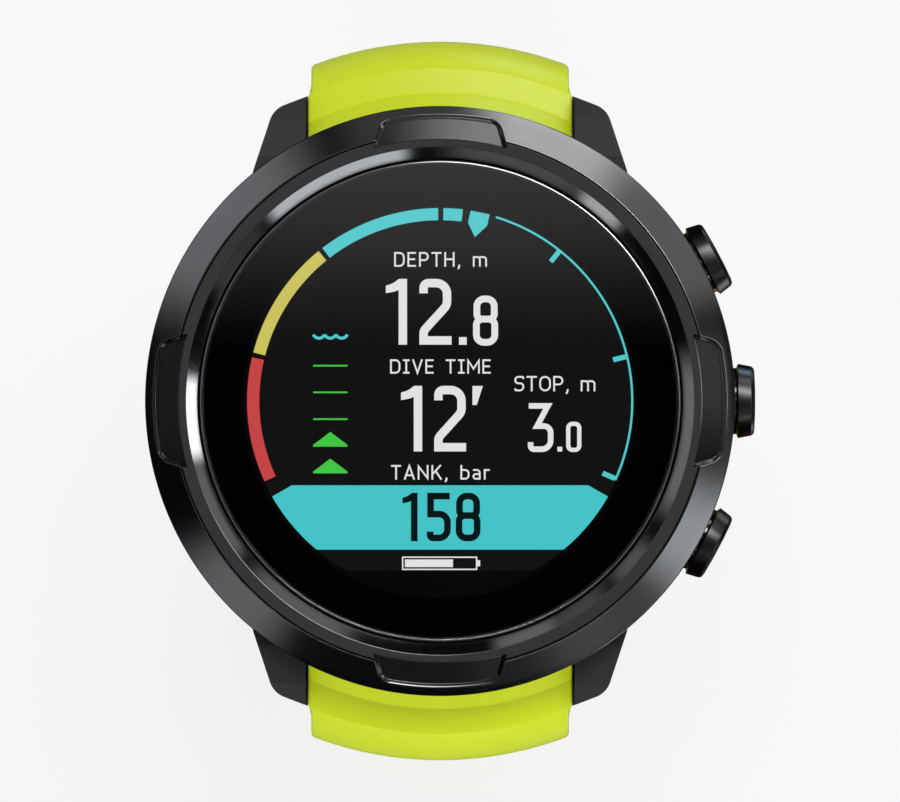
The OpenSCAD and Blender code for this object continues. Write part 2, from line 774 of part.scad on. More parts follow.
keeper_free();
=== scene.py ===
import math

import bmesh
import bpy
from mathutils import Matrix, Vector
from mathutils.geometry import delaunay_2d_cdt


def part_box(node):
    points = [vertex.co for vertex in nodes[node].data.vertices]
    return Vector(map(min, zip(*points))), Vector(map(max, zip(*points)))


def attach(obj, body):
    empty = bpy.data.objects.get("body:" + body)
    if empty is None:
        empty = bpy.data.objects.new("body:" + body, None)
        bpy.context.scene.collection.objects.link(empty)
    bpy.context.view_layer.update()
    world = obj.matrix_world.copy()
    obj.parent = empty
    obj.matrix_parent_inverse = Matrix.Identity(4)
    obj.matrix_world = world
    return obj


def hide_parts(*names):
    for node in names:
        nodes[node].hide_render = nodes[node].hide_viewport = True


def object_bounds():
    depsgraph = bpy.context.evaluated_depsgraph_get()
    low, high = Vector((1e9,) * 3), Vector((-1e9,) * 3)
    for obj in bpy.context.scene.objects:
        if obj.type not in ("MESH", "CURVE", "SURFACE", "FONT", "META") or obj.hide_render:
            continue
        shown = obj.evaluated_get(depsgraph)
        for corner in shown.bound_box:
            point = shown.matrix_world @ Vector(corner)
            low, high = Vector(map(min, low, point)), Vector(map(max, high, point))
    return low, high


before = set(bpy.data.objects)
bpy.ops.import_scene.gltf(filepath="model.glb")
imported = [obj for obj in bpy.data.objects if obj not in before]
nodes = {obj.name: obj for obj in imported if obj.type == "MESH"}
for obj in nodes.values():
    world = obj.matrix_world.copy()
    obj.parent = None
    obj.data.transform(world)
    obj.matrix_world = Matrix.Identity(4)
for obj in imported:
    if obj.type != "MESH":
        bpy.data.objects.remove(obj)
cad_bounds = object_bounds()
scene = bpy.context.scene

MM = 0.001  # every length below is in millimetres until mesh_mm


def box_mm(node):
    low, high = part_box(node)
    return low / MM, high / MM


# ---- sizes taken from the CAD frame ----

bezel_low, bezel_high = box_mm("bezel")
lens_low, lens_high = box_mm("lens")
panel_low, panel_high = box_mm("display_panel")
short_low, short_high = box_mm("strap_short")
bar_low, bar_high = box_mm("lug_bar_short")
button_low, button_high = box_mm("button_middle")

BEZEL_R = bezel_high.x
TOP = bezel_high.z
SEAT = bezel_low.z
LENS_R = lens_high.x
LENS_TOP = lens_high.z
FLOOR_Z = cad_bounds[0][2] / MM - 0.05  # just clear of the strap that lies on it

HEAD_HALF = short_high.x + 0.04  # half width of the strap between the lugs
BAND_HALF = short_high.x - 0.25
BAND_T = 3.2
SHOULDER_R = short_high.y  # outer limit of the strap's head
BAR_Y = (bar_low.y + bar_high.y) / 2
BAR_Z = (bar_low.z + bar_high.z) / 2
HEAD_R = 6.3
HEAD_TOP = short_high.z
HEAD_LOW = 0.9
BAND_Y = 28.6  # middle of the band where it hangs straight down
BUTTON_Z = (button_low.z + button_high.z) / 2
BUTTON_TIP = button_high.x
SCREEN_Z = panel_high.z
SCREEN_R = 17.35  # the lit area of the display,
SCREEN_LOW = -15.24  # cut off level at the bottom


# ---- small geometry helpers ----

def arc(cy, cz, r, start, end, step=3.0):
    count = max(1, math.ceil(abs(end - start) / step))
    return [(cy + r * math.cos(math.radians(start + (end - start) * i / count)),
             cz + r * math.sin(math.radians(start + (end - start) * i / count)))
            for i in range(count + 1)]


def rounded(points, radii, closed=False, step=10.0):
    """The polyline with each corner of the given radius turned into an arc."""
    pts = [Vector(p) for p in points]
    out = []
    for i, p in enumerate(pts):
        r = radii[i] if isinstance(radii, (list, tuple)) else radii
        if r <= 0 or (not closed and i in (0, len(pts) - 1)):
            out.append(tuple(p))
            continue
        to_a, to_b = pts[i - 1] - p, pts[(i + 1) % len(pts)] - p
        la, lb = to_a.length, to_b.length
        to_a.normalize()
        to_b.normalize()
        angle = math.acos(max(-1.0, min(1.0, to_a.dot(to_b))))
        if angle > math.pi - 0.01:
            out.append(tuple(p))
            continue
        cut = min(r / math.tan(angle / 2), 0.49 * la, 0.49 * lb)
        r = cut * math.tan(angle / 2)
        a, b = p + to_a * cut, p + to_b * cut
        centre = p + (to_a + to_b).normalized() * (r / math.sin(angle / 2))
        start = math.atan2(a.y - centre.y, a.x - centre.x)
        turn = math.atan2(b.y - centre.y, b.x - centre.x) - start
        turn = (turn + math.pi) % (2 * math.pi) - math.pi
        count = max(2, math.ceil(abs(math.degrees(turn)) / step))
        for k in range(count + 1):
            t = start + turn * k / count
            out.append((centre.x + r * math.cos(t), centre.y + r * math.sin(t)))
    return out


def loop_normals(loop):
    """Outward unit normals of a closed loop of points."""
    area = sum(a[0] * b[1] - b[0] * a[1] for a, b in zip(loop, loop[1:] + loop[:1]))
    sign = 1.0 if area > 0 else -1.0
    normals = []
    for i in range(len(loop)):
        a, b = loop[i - 1], loop[(i + 1) % len(loop)]
        dx, dy = b[0] - a[0], b[1] - a[1]
        size = math.hypot(dx, dy) or 1.0
        normals.append((sign * dy / size, -sign * dx / size))
    return normals


def inset_loop(loop, distances):
    """The loop moved inward; where it would fold over at a sharp corner its points run together."""
    count = len(loop)
    moved = [Vector((p[0] - n[0] * d, p[1] - n[1] * d))
             for p, n, d in zip(loop, loop_normals(loop), distances)]
    groups = [[i] for i in range(count)]
    folded = True
    while folded:
        folded = False
        for i in range(count):
            j = (i + 1) % count
            if groups[i] is groups[j]:
                continue
            before = Vector(loop[j]) - Vector(loop[i])
            if before.dot(moved[j] - moved[i]) < 0:
                joined = groups[i] + groups[j]
                middle = sum((moved[k] for k in joined), Vector((0.0, 0.0))) / len(joined)
                for k in joined:
                    groups[k], moved[k] = joined, middle
                folded = True
    return moved


def smooth(t):
    t = max(0.0, min(1.0, t))
    return t * t * (3 - 2 * t)


# ---- making pieces ----

def finish_mesh(mesh, angle):
    bm = bmesh.new()
    bm.from_mesh(mesh)
    bmesh.ops.remove_doubles(bm, verts=bm.verts, dist=1e-7)
    bmesh.ops.dissolve_degenerate(bm, edges=bm.edges, dist=1e-7)
    bmesh.ops.recalc_face_normals(bm, faces=bm.faces)
    bm.to_mesh(mesh)
    bm.free()
    mesh.shade_smooth()
    mesh.set_sharp_from_angle(angle=math.radians(angle))


def mesh_mm(name, verts, faces):
    mesh = bpy.data.meshes.new(name)
    mesh.from_pydata([(x * MM, y * MM, z * MM) for x, y, z in verts], [], faces)
    return mesh


def add_object(name, data):
    obj = bpy.data.objects.new(name, data)
    scene.collection.objects.link(obj)
    return obj


def weigh_normals(obj):
    obj.modifiers.new("normals", "WEIGHTED_NORMAL").keep_sharp = True


def piece(name, verts, faces, materials, body, stands_for=(), slots=None, angle=32):
    """Finished piece from points in millimetres; slots gives the material of each face."""
    mesh = mesh_mm(name, verts, faces)
    for m in materials:
        mesh.materials.append(m)
    if slots:
        mesh.polygons.foreach_set("material_index", slots)
    finish_mesh(mesh, angle)
    obj = add_object(name, mesh)
    weigh_normals(obj)
    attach(obj, body)
    if stands_for:
        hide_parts(*stands_for)
    return obj


def bake_modifiers(obj):
    graph = bpy.context.evaluated_depsgraph_get()
    mesh = bpy.data.meshes.new_from_object(obj.evaluated_get(graph))
    obj.modifiers.clear()
    old, obj.data = obj.data, mesh
    bpy.data.meshes.remove(old)
    finish_mesh(mesh, 32)


def cut(obj, verts, faces):
    """Takes a closed shape away from a piece."""
    obj.modifiers.clear()
    mesh = mesh_mm("cutter", verts, faces)
    finish_mesh(mesh, 30)
    tool = add_object("cutter", mesh)
    modifier = obj.modifiers.new("cut", "BOOLEAN")
    modifier.operation = "DIFFERENCE"
    modifier.solver = "EXACT"
    modifier.object = tool
    bake_modifiers(obj)
    bpy.data.objects.remove(tool)
    bpy.data.meshes.remove(mesh)
    weigh_normals(obj)


def strip(a, b, count, closed=True):
    """Quads between two rows of points that start at the indices a and b."""
    return [(a + i, a + (i + 1) % count, b + (i + 1) % count, b + i)
            for i in range(count if closed else count - 1)]


def lathe(profile, segments=288, closed=True):
    """Verts and faces of a profile of (r, z) points turned round the Z axis."""
    rows = len(profile)
    verts = [(r * math.cos(a), r * math.sin(a), z)
             for a in (2 * math.pi * j / segments for j in range(segments))
             for r, z in profile]
    return verts, [face for j in range(segments)
                   for face in strip(j * rows, (j + 1) % segments * rows, rows, closed)]


def loft(loops, close_ends=True):
    """Skin over loops of equal length; the two end loops become faces."""
    count = len(loops[0])
    verts = [p for loop in loops for p in loop]
    faces = [face for j in range(len(loops) - 1) for face in strip(j * count, (j + 1) * count, count)]
    if close_ends:
        faces.append(tuple(range(count)))
        last = (len(loops) - 1) * count
        faces.append(tuple(last + i for i in range(count)))
    return verts, faces


class Flat:
    """Thin graphics collected into one mesh: even lines and filled outlines."""

    def __init__(self, z, thickness):
        self.z0, self.z1 = z, z + thickness
        self.verts, self.faces = [], []

    def fill(self, outline):
        base, count = len(self.verts), len(outline)
        for z in (self.z0, self.z1):
            self.verts += [(x, y, z) for x, y in outline]
        self.faces.append(tuple(base + i for i in range(count)))
        self.faces.append(tuple(base + count + i for i in range(count)))
        self.faces += strip(base, base + count, count)

    def box(self, x0, y0, x1, y1):
        self.fill([(x0, y0), (x1, y0), (x1, y1), (x0, y1)])

    def line(self, points, width, closed=False):
        count = len(points)
        left, right = [], []
        for i in range(count):
            p = Vector(points[i])
            a = Vector(points[i - 1]) if closed or i > 0 else None
            b = Vector(points[(i + 1) % count]) if closed or i < count - 1 else None
            d1 = (p - a).normalized() if a is not None else (b - p).normalized()
            d2 = (b - p).normalized() if b is not None else d1
            n1, n2 = Vector((-d1.y, d1.x)), Vector((-d2.y, d2.x))
            n = (n1 + n2).normalized()
            reach = width / 2 / max(0.35, n.dot(n1))
            left.append(tuple(p + n * reach))
            right.append(tuple(p - n * reach))
        if not closed:
            self.fill(left + right[::-1])
            return
        base = len(self.verts)
        for z in (self.z0, self.z1):
            for ring in (left, right):
                self.verts += [(x, y, z) for x, y in ring]
        for a, b in ((0, 1), (3, 2), (2, 0), (1, 3)):  # low, high, outer and inner faces
            self.faces += strip(base + a * count, base + b * count, count)

    def sector(self, r_in, r_out, start, end):
        self.fill(arc(0, 0, r_out, start, end, 1.0) + arc(0, 0, r_in, end, start, 1.0))

    def make(self, name, material):
        piece(name, self.verts, self.faces, [material], "case")


# ---- materials ----

def rgb(r, g, b):
    """Linear colour of a screen colour."""
    def one(c):
        c /= 255
        return c / 12.92 if c <= 0.04045 else ((c + 0.055) / 1.055) ** 2.4
    return (one(r), one(g), one(b), 1.0)


def shade(colour, factor):
    return tuple(min(1.0, c * factor) for c in colour[:3]) + (1.0,)


class Nodes:
    """A material made from nodes, its Principled shader and the object coordinates."""

    def __init__(self, name):
        self.material = bpy.data.materials.new(name)
        self.material.use_nodes = True
        self.tree = self.material.node_tree
        self.shader = self.tree.nodes["Principled BSDF"]
        self.coords = self.tree.nodes.new("ShaderNodeTexCoord").outputs["Object"]

    def add(self, kind, **inputs):
        node = self.tree.nodes.new(kind)
        for key, value in inputs.items():
            self.put(value, node.inputs[key.replace("_", " ")])
        return node

    def put(self, value, socket):
        if isinstance(value, bpy.types.NodeSocket):
            self.tree.links.new(value, socket)
        else:
            socket.default_value = value

    def set(self, **inputs):
        for key, value in inputs.items():
            self.put(value, self.shader.inputs[key.replace("_", " ")])

    def noise(self, size_mm, detail=3.0, rough=0.5, stretch=None):
        source = self.coords
        if stretch:
            mapping = self.add("ShaderNodeMapping", Vector=source)
            mapping.inputs["Scale"].default_value = stretch
            source = mapping.outputs["Vector"]
        return self.add("ShaderNodeTexNoise", Vector=source, Scale=1 / (size_mm * MM),
                        Detail=detail, Roughness=rough).outputs["Fac"]

    def ramp(self, value, low, high, to_low, to_high):
        return self.add("ShaderNodeMapRange", Value=value, From_Min=low, From_Max=high,
                        To_Min=to_low, To_Max=to_high).outputs["Result"]

    def mix(self, factor, a, b):
        node = self.tree.nodes.new("ShaderNodeMix")
        node.data_type = "RGBA"
        self.put(factor, node.inputs["Factor"])
        colour_inputs = [s for s in node.inputs if s.type == "RGBA"]
        self.put(a, colour_inputs[0])
        self.put(b, colour_inputs[1])
        return [s for s in node.outputs if s.type == "RGBA"][0]

    def bump(self, height, depth_mm, under=None):
        node = self.add("ShaderNodeBump", Height=height, Strength=1.0, Distance=depth_mm * MM)
        if under is not None:
            self.put(under, node.inputs["Normal"])
        return node.outputs["Normal"]


def metal(name, colour, roughness, spread, grain_mm, depth_mm, stretch=None, metallic=1.0):
    n = Nodes(name)
    cloud = n.noise(6.0, 2.0)
    fine = n.noise(grain_mm, 3.0, 0.6, stretch)
    n.set(Metallic=metallic,
          Base_Color=n.mix(n.ramp(cloud, 0.3, 0.7, 0, 1), shade(colour, 0.92), shade(colour, 1)),
          Roughness=n.ramp(fine, 0.3, 0.7, roughness - spread, roughness + spread),
          Normal=n.bump(fine, depth_mm))
    return n.material


def plastic(name, colour, roughness, grain_mm, depth_mm, specular=0.4):
    n = Nodes(name)
    cloud = n.noise(8.0, 3.0)
    fine = n.noise(grain_mm, 2.0, 0.6)
    n.set(Base_Color=n.mix(n.ramp(cloud, 0.3, 0.7, 0, 1), shade(colour, 0.92), shade(colour, 1.08)),
          Roughness=n.ramp(fine, 0.3, 0.7, roughness - 0.06, roughness + 0.06),
          Specular_IOR_Level=specular, Normal=n.bump(fine, depth_mm))
    return n.material


def glowing(name, colour, brightness=1.0):
    """A lit area of the colour display, with the faint grid of its cells."""
    n = Nodes(name)
    grid = n.add("ShaderNodeTexBrick", Vector=n.coords, Scale=1 / (0.11 * MM))
    grid.offset = 0.0
    grid.inputs["Mortar Size"].default_value = 0.06
    grid.inputs["Brick Width"].default_value = 1.0
    grid.inputs["Row Height"].default_value = 1.0
    lit, dim = shade(colour, brightness), shade(colour, brightness * 0.93)
    n.set(Base_Color=(0.0, 0.0, 0.0, 1.0), Roughness=0.6, Specular_IOR_Level=0.0,
          Emission_Color=n.mix(grid.outputs["Fac"], lit, dim), Emission_Strength=1.0)
    return n.material


satin_steel = metal("satin_steel", (0.33, 0.335, 0.345), 0.15, 0.015, 0.12, 0.0001)
ring_steel = metal("ring_steel", (0.135, 0.135, 0.138), 0.50, 0.02, 0.10, 0.0002)
# painted shade: a near-black steel put on thin creases, the bezel's groove and bore and the undersides
# of the button caps, where shade falls
painted_shade_steel = metal("painted_shade_steel", (0.030, 0.030, 0.032), 0.35, 0.03, 0.12, 0.0002)
neck_steel = metal("neck_steel", (0.18, 0.18, 0.185), 0.12, 0.01, 0.3, 0.00005)
polished_steel = metal("polished_steel", (0.42, 0.43, 0.44), 0.09, 0.02, 0.4, 0.0002)
button_steel = metal("button_steel", (0.11, 0.113, 0.117), 0.30, 0.01, 0.12, 0.00004)
buckle_steel = metal("buckle_steel", (0.24, 0.245, 0.25), 0.30, 0.05, 0.2, 0.0004,
                     stretch=(0.15, 1, 1), metallic=0.6)
back_steel = metal("back_steel", (0.48, 0.48, 0.49), 0.34, 0.06, 0.15, 0.0006, stretch=(1, 0.1, 1),
                   metallic=0.6)
screw_steel = metal("screw_steel", (0.62, 0.61, 0.60), 0.28, 0.05, 0.2, 0.0004, metallic=0.6)
gold = metal("gold", (0.90, 0.66, 0.30), 0.22, 0.05, 0.2, 0.0005)
case_polymer = plastic("case_polymer", (0.026, 0.026, 0.028), 0.55, 0.09, 0.006)
black_rubber = plastic("black_rubber", (0.018, 0.018, 0.019), 0.62, 0.10, 0.004)
chassis_plastic = plastic("chassis_plastic", (0.02, 0.02, 0.022), 0.5, 0.2, 0.004)
cell_case = plastic("cell_case", (0.30, 0.32, 0.34), 0.35, 0.3, 0.002)
flex_film = plastic("flex_film", (0.36, 0.17, 0.04), 0.35, 0.3, 0.001)
light_guide = plastic("light_guide", (0.72, 0.74, 0.76), 0.3, 0.3, 0.001)
screen_glass = plastic("screen_glass", (0.0015, 0.0015, 0.0017), 0.30, 0.5, 0.0002, specular=0.0)


def board_material():
    """Green board with paler tracks."""
    n = Nodes("circuit_board")
    tracks = n.add("ShaderNodeTexVoronoi", Vector=n.coords, Scale=1 / (1.1 * MM))
    tracks.feature = "DISTANCE_TO_EDGE"
    lines = n.ramp(tracks.outputs["Distance"], 0.02, 0.06, 1.0, 0.0)
    n.set(Base_Color=n.mix(lines, (0.008, 0.055, 0.03, 1), (0.02, 0.12, 0.06, 1)), Roughness=0.35,
          Normal=n.bump(lines, 0.02))
    return n.material


def strap_material():
    n = Nodes("strap_rubber")
    cloud = n.noise(9.0, 3.0)
    fine = n.noise(0.16, 2.0, 0.55)
    speck = n.noise(1.1, 2.0, 0.5)
    colour = n.mix(n.ramp(cloud, 0.3, 0.7, 0, 1), (0.568, 0.684, 0.008, 1), (0.588, 0.706, 0.010, 1))
    n.set(Base_Color=colour, Roughness=n.ramp(speck, 0.3, 0.7, 0.30, 0.38), Specular_IOR_Level=0.65,
          Sheen_Weight=0.12, Sheen_Roughness=0.4, Subsurface_Weight=0.10, Subsurface_Scale=1.2 * MM,
          Normal=n.bump(fine, 0.004, n.bump(speck, 0.003)))
    n.shader.inputs["Subsurface Radius"].default_value = (1.0, 0.9, 0.2)
    return n.material


def lens_material():
    n = Nodes("window_glass")
    smear = n.noise(5.0, 3.0)
    n.set(Base_Color=(0.97, 0.98, 0.98, 1), Roughness=n.ramp(smear, 0.4, 0.7, 0.0, 0.02),
          Transmission_Weight=1.0, IOR=1.5)
    return n.material


circuit_board = board_material()
ground_edge = metal("ground_edge", (0.82, 0.82, 0.83), 0.18, 0.02, 0.1, 0.0002, metallic=0.95)
strap_rubber = strap_material()
window_glass = lens_material()

BY_SLOT = {
    "case_polymer": case_polymer, "bezel_steel": satin_steel, "window_glass": window_glass,
    "seal_rubber": black_rubber, "back_steel": back_steel, "fastener_steel": screw_steel,
    "contact_gold": gold, "display_face": screen_glass, "light_guide": light_guide,
    "flex_film": flex_film, "chassis_plastic": chassis_plastic, "circuit_board": circuit_board,
    "cell_case": cell_case, "button_steel": button_steel, "strap_rubber": strap_rubber,
    "buckle_steel": buckle_steel,
}


# ---- bezel ----

FACET_OUT = (BEZEL_R - 0.1, TOP - 1.8)
FACET_IN = (BEZEL_R - 2.45, TOP - 0.2)
NOTCH_IN = BEZEL_R - 3.0  # the pocket starts inside the flat ring
NOTCH_OUT = BEZEL_R - 0.72  # and ends short of the rim
NOTCH_WALL = 0.42
NOTCH_CORNER = 0.85
NOTCH_FLOOR = ((BEZEL_R - 3.0, TOP - 0.68), (BEZEL_R - 1.1, TOP - 1.545))
NOTCH_SIDE = ((5.92, BEZEL_R - 2.4), (5.25, BEZEL_R - 0.3))  # across and out, at one end


def notch_edge(r, turn):
    """Distance outside the outline of a grip notch; turn is the angle from the notch's middle."""
    across = abs(r * turn)
    (x0, r0), (x1, r1) = NOTCH_SIDE
    length = math.hypot(x1 - x0, r1 - r0)
    side = ((across - x0) * (r1 - r0) - (r - r0) * (x1 - x0)) / length
    a, b = r - NOTCH_OUT + NOTCH_CORNER, side + NOTCH_CORNER
    return min(max(a, b), 0.0) + math.hypot(max(a, 0.0), max(b, 0.0)) - NOTCH_CORNER


def notch_depth(r, turn):
    """0 outside a grip notch, 1 on its floor."""
    wall = max(0.0, min(1.0, -notch_edge(r, turn) / NOTCH_WALL))
    soft = 0.14  # share of the wall that is rounded at its top and at its foot
    if wall < soft:
        wall = wall * wall / (2 * soft)
    elif wall > 1 - soft:
        wall = 1 - soft - (1 - wall) ** 2 / (2 * soft)
    else:
        wall = wall - soft / 2
    return wall / (1 - soft) * smooth((r - NOTCH_IN + 0.03) / 0.06)


def notch_painted_shade(r, turn):
    """True on the thin strips along the top and the foot of a notch's wall that get painted shade, a
    dark steel where the crease's shade falls.
    """
    edge = notch_edge(r, turn)
    return r > NOTCH_IN and (-0.09 < edge < -0.02 or -0.06 < edge + NOTCH_WALL < 0.02)


def spaced(a, b, step):
    count = max(1, math.ceil(abs(b - a) / step))
    return [a + (b - a) * i / count for i in range(count + 1)]


def bezel():
    """Ring with a sloping facet, a flat top, a polished chamfer and four grip notches."""
    def facet(r):
        t = (r - FACET_IN[0]) / (FACET_OUT[0] - FACET_IN[0])
        return FACET_IN[1] + t * (FACET_OUT[1] - FACET_IN[1])

    outer = rounded([(BEZEL_R - 3.94, SEAT), (BEZEL_R, SEAT), (BEZEL_R, facet(BEZEL_R)),
                     (BEZEL_R - 0.6, facet(BEZEL_R - 0.6))], [0, 0.25, 0.2, 0])
    # inward from the rim and down from the top: groove, flat ring, chamfer, opening, gasket seat
    steps = ((2.47, 0.22), (2.50, 0.40), (2.59, 0.40), (2.60, 0), (3.68, 0), (4.70, 0.6), (4.90, 0.8),
             (4.90, 3.1), (6.90, 3.1), (6.90, 3.9), (3.94, 3.9))
    inner = rounded([(BEZEL_R - 2.4, facet(BEZEL_R - 2.4))]
                    + [(BEZEL_R - inward, TOP - down) for inward, down in steps],
                    [0, 0.04, 0.03, 0.03, 0.05, 0.07, 0.12, 0.05, 0.05, 0.05, 0.05, 0])
    middle = [(r, facet(r)) for r in spaced(BEZEL_R - 0.64, BEZEL_R - 2.36, 0.035)]
    flat = [p for p in inner if p[0] > BEZEL_R - 2.65]
    ring = [(r, TOP) for r in spaced(BEZEL_R - 2.70, BEZEL_R - 3.55, 0.04)]
    rest = [p for p in inner if p[0] <= BEZEL_R - 3.60]
    profile = outer + middle + flat + ring + rest

    # the columns are close together where a notch ends
    stops = (-45, -15.2, -9.0, 9.0, 15.2, 45)
    angles = [quarter * 90.0 + a for quarter in range(4)
              for start, end, step in zip(stops, stops[1:], (0.75, 0.10, 0.75, 0.10, 0.75))
              for a in spaced(start, end, step)[:-1]]

    (fr0, fz0), (fr1, fz1) = NOTCH_FLOOR
    verts, faces, slots = [], [], []
    rows = len(profile)
    for a in angles:
        turn = math.radians((a + 45) % 90 - 45)
        rad = math.radians(a)
        for r, z in profile:
            if r > NOTCH_IN - 0.1 and z > TOP - 2.2:
                k = notch_depth(r, turn)
                floor = fz0 + (r - fr0) / (fr1 - fr0) * (fz1 - fz0)
                z = z + (floor - z) * k
            verts.append((r * math.cos(rad), r * math.sin(rad), z))
    for j in range(len(angles)):
        k = (j + 1) % len(angles)
        faces += strip(j * rows, k * rows, rows)
        middle_turn = math.radians(((angles[j] + angles[k]) / 2 + 45) % 90 - 45)
        for (r0, z0), (r1, z1) in zip(profile, profile[1:] + profile[:1]):
            r, z = (r0 + r1) / 2, (z0 + z1) / 2
            outside = notch_depth(r, middle_turn) < 0.5
            # painted shade: faces in the groove, on the bore below the chamfer and on thin strips at the
            # top and foot of each notch wall get the dark steel of slot 3, where shade falls
            groove = BEZEL_R - 2.62 < r < BEZEL_R - 2.46 and TOP - 0.45 < z < TOP - 0.25 and outside
            bore_painted_shade = r < BEZEL_R - 4.66 and z > TOP - 3.2
            if (z > TOP - 2.0 and notch_painted_shade(r, middle_turn)) or groove or bore_painted_shade:
                slots.append(3)
            elif r < BEZEL_R - 3.66 and z > TOP - 1.0:
                slots.append(2)
            elif r < BEZEL_R - 2.55 and z > TOP - 0.1 and outside:
                slots.append(1)
            else:
                slots.append(0)
    piece("bezel_ring", verts, faces, [satin_steel, ring_steel, polished_steel, painted_shade_steel],
          "case", ["bezel"], slots, angle=40)


bezel()


# ---- window ----

def window():
    """Flat glass with a ground edge, and the black print behind its rim."""
    edge = 0.10  # ground edge round the top of the glass
    rim = LENS_R + 0.07  # the glass nearly fills the bezel's opening
    profile = rounded([(0.0, lens_low.z), (rim - 0.3, lens_low.z), (rim, lens_low.z),
                       (rim, LENS_TOP - 0.04), (rim - edge, LENS_TOP),
                       (rim - edge - 0.1, LENS_TOP), (0.0, LENS_TOP)],
                      [0, 0, 0.12, 0.02, 0, 0, 0], step=15)
    verts, faces = lathe(profile, 288, closed=False)
    slots = []
    for face in faces:
        x, y, z = (sum(c) / len(face) for c in zip(*[verts[i] for i in face]))
        slots.append(int(math.hypot(x, y) > rim - edge and z > LENS_TOP - 0.06))
    piece("window", verts, faces, [window_glass, ground_edge], "case", ["lens"], slots,
          angle=12)
    # black print behind the rim of the glass
    low, high = lens_low.z + 0.02, lens_low.z + 0.05
    inside, outside = SCREEN_R + 0.4, LENS_R - 0.25
    verts, faces = lathe(rounded([(inside, low), (outside, low), (outside, high), (inside, high)],
                                 0.01, True), 240)
    piece("window_print", verts, faces, [screen_glass], "case")


window()


# ---- buttons ----

def button(name, angle):
    cap_r = (button_high.z - button_low.z) / 2
    base = BEZEL_R + 0.3  # where the cap is widest
    under = base - 0.16  # foot of the cone behind it
    tip = BUTTON_TIP
    neck = cap_r - 0.37
    groove = neck - 0.22
    stem = 1.25
    inner = button_low.x
    shelf = BEZEL_R - 2.3
    profile = rounded([
        (0, inner), (stem, inner), (stem, shelf), (neck, shelf), (neck, BEZEL_R - 0.95),
        (groove, BEZEL_R - 0.88), (groove, BEZEL_R - 0.32), (neck, BEZEL_R - 0.25), (neck, under),
        (cap_r, base), (cap_r - 0.23, tip - 0.35), (cap_r - 0.42, tip - 0.13), (cap_r - 0.8, tip - 0.06),
        (1.2, tip), (0, tip)],
        [0, 0.1, 0, 0.08, 0.03, 0.03, 0.03, 0.03, 0, 0.06, 0.15, 0.14, 0.2, 0.5, 0], step=12)
    verts, faces = lathe(profile, 144, closed=False)
    c, s = math.cos(math.radians(angle)), math.sin(math.radians(angle))
    placed = [(z * c - y * s, z * s + y * c, BUTTON_Z - x) for x, y, z in verts]
    slots = []
    # painted shade: slot 2, the dark steel, goes on the underside of the cap between the foot of its
    # cone and its widest point, under the overhang
    for face in faces:
        low, high = min(verts[i][2] for i in face), max(verts[i][2] for i in face)
        slots.append(0 if low < under - 0.01 else 1 if high > base + 0.03 else 2)
    piece(name + "_cap", placed, faces, [neck_steel, button_steel, painted_shade_steel], name,
          [name], slots, angle=30)


BUTTON_ANGLE = 28.0  # between neighbouring buttons
for button_name, button_turn in (("button_upper", BUTTON_ANGLE), ("button_middle", 0.0),
                                 ("button_lower", -BUTTON_ANGLE)):
    button(button_name, button_turn)


# ---- strap ----

EDGE_R = 0.35  # rounding along the strap's edges
HEAD_EDGE_R = 0.2  # the same between the lugs
CURL_SHORT = (9.6, -7.0, 19.0, 135.0)
CURL_LONG = (8.6, -30.0, 20.0)
LONG_FLAT = 22.6
TAIL_R, TAIL_ANGLE = 28.0, 25.0
SLOT_COUNT, SLOT_PITCH, SLOT_FIRST = 9, 6.5, 10.0
CROWN_LOW = -14.0  # where the crown of the long half fades into the flat band
HEAD_BACK = (211.5, 83.0)  # the side of the head that faces the case, as angles round the lug bar
HEAD_WIDE_Z = 4.6  # the head is as wide as the gap above this height
TONGUE_NOTCH = (1.7, 4.4)  # half width, and depth from the buckle bar
LEVER_WINDOW = (5.4, 9.2, 1.2)  # from, to, and half width
RISER = [(26.3, HEAD_TOP), (27.66, 8.2), (30.0, 7.3)]
SHOULDER = (24.21, 1.5, 8.19)


def riser_radius(z):
    """How far out the riser of the strap's head stands at a height; no limit below it."""
    if z <= RISER[2][1]:
        return math.inf
    (r0, z0), (r1, z1) = RISER[:2] if z > RISER[1][1] else RISER[1:]
    return r0 + (z - z0) / (z1 - z0) * (r1 - r0)


def head_points(low):
    """Outer side of a strap's head, from its top edge down to the flat band, as (r, z, mode)."""
    line = rounded(RISER + [(30.6, 6.62)], [0, 0.3, 0.12, 0], step=8)[:-1]
    points = []
    for a, b in zip(line, line[1:]):
        count = max(1, math.ceil(math.dist(a, b) / 0.35))
        points += [(a[0] + (b[0] - a[0]) * i / count, a[1] + (b[1] - a[1]) * i / count, 1)
                   for i in range(count)]
    points += [(r, z, 1) for r, z in reversed(arc(*SHOULDER, 0, 44, 2.5))]
    r_low = BAND_Y + BAND_T / 2 - 0.3
    for i in range(1, 15):
        t = i / 14
        points.append((SHOULDER_R + (r_low - SHOULDER_R) * t, SHOULDER[1] + (low - SHOULDER[1]) * t, 2))
    return points


def strap_outline(low, inner, tip, outer):
    """Closed outline as rows of y or radius, z, mode, half width and edge radius.

    Mode 0 is plain, 1 is turned about the dial, and 2 fades from that into the flat band.
    """
    back = [(y, z, 0) for y, z in arc(BAR_Y, BAR_Z, HEAD_R, *HEAD_BACK, 4)]
    head = head_points(low)
    under = [(BAND_Y - BAND_T / 2, HEAD_LOW + 0.6, 0)]
    rows = []
    for q, z, mode in back + head + [(y, z, 0) for y, z in outer + tip + inner] + under:
        wide = smooth((z - HEAD_WIDE_Z) / 0.3) if mode == 0 else smooth((30.15 - q) / 0.25) * (mode == 1)
        edge = EDGE_R + (HEAD_EDGE_R - EDGE_R) * smooth((z - SHOULDER[1]) / 3.0)
        rows.append([q, z, mode, BAND_HALF + (HEAD_HALF - BAND_HALF) * wide, edge])
    return rows


def closest(points, place):
    gaps = [(p - place).length for p in points]
    return gaps.index(min(gaps))


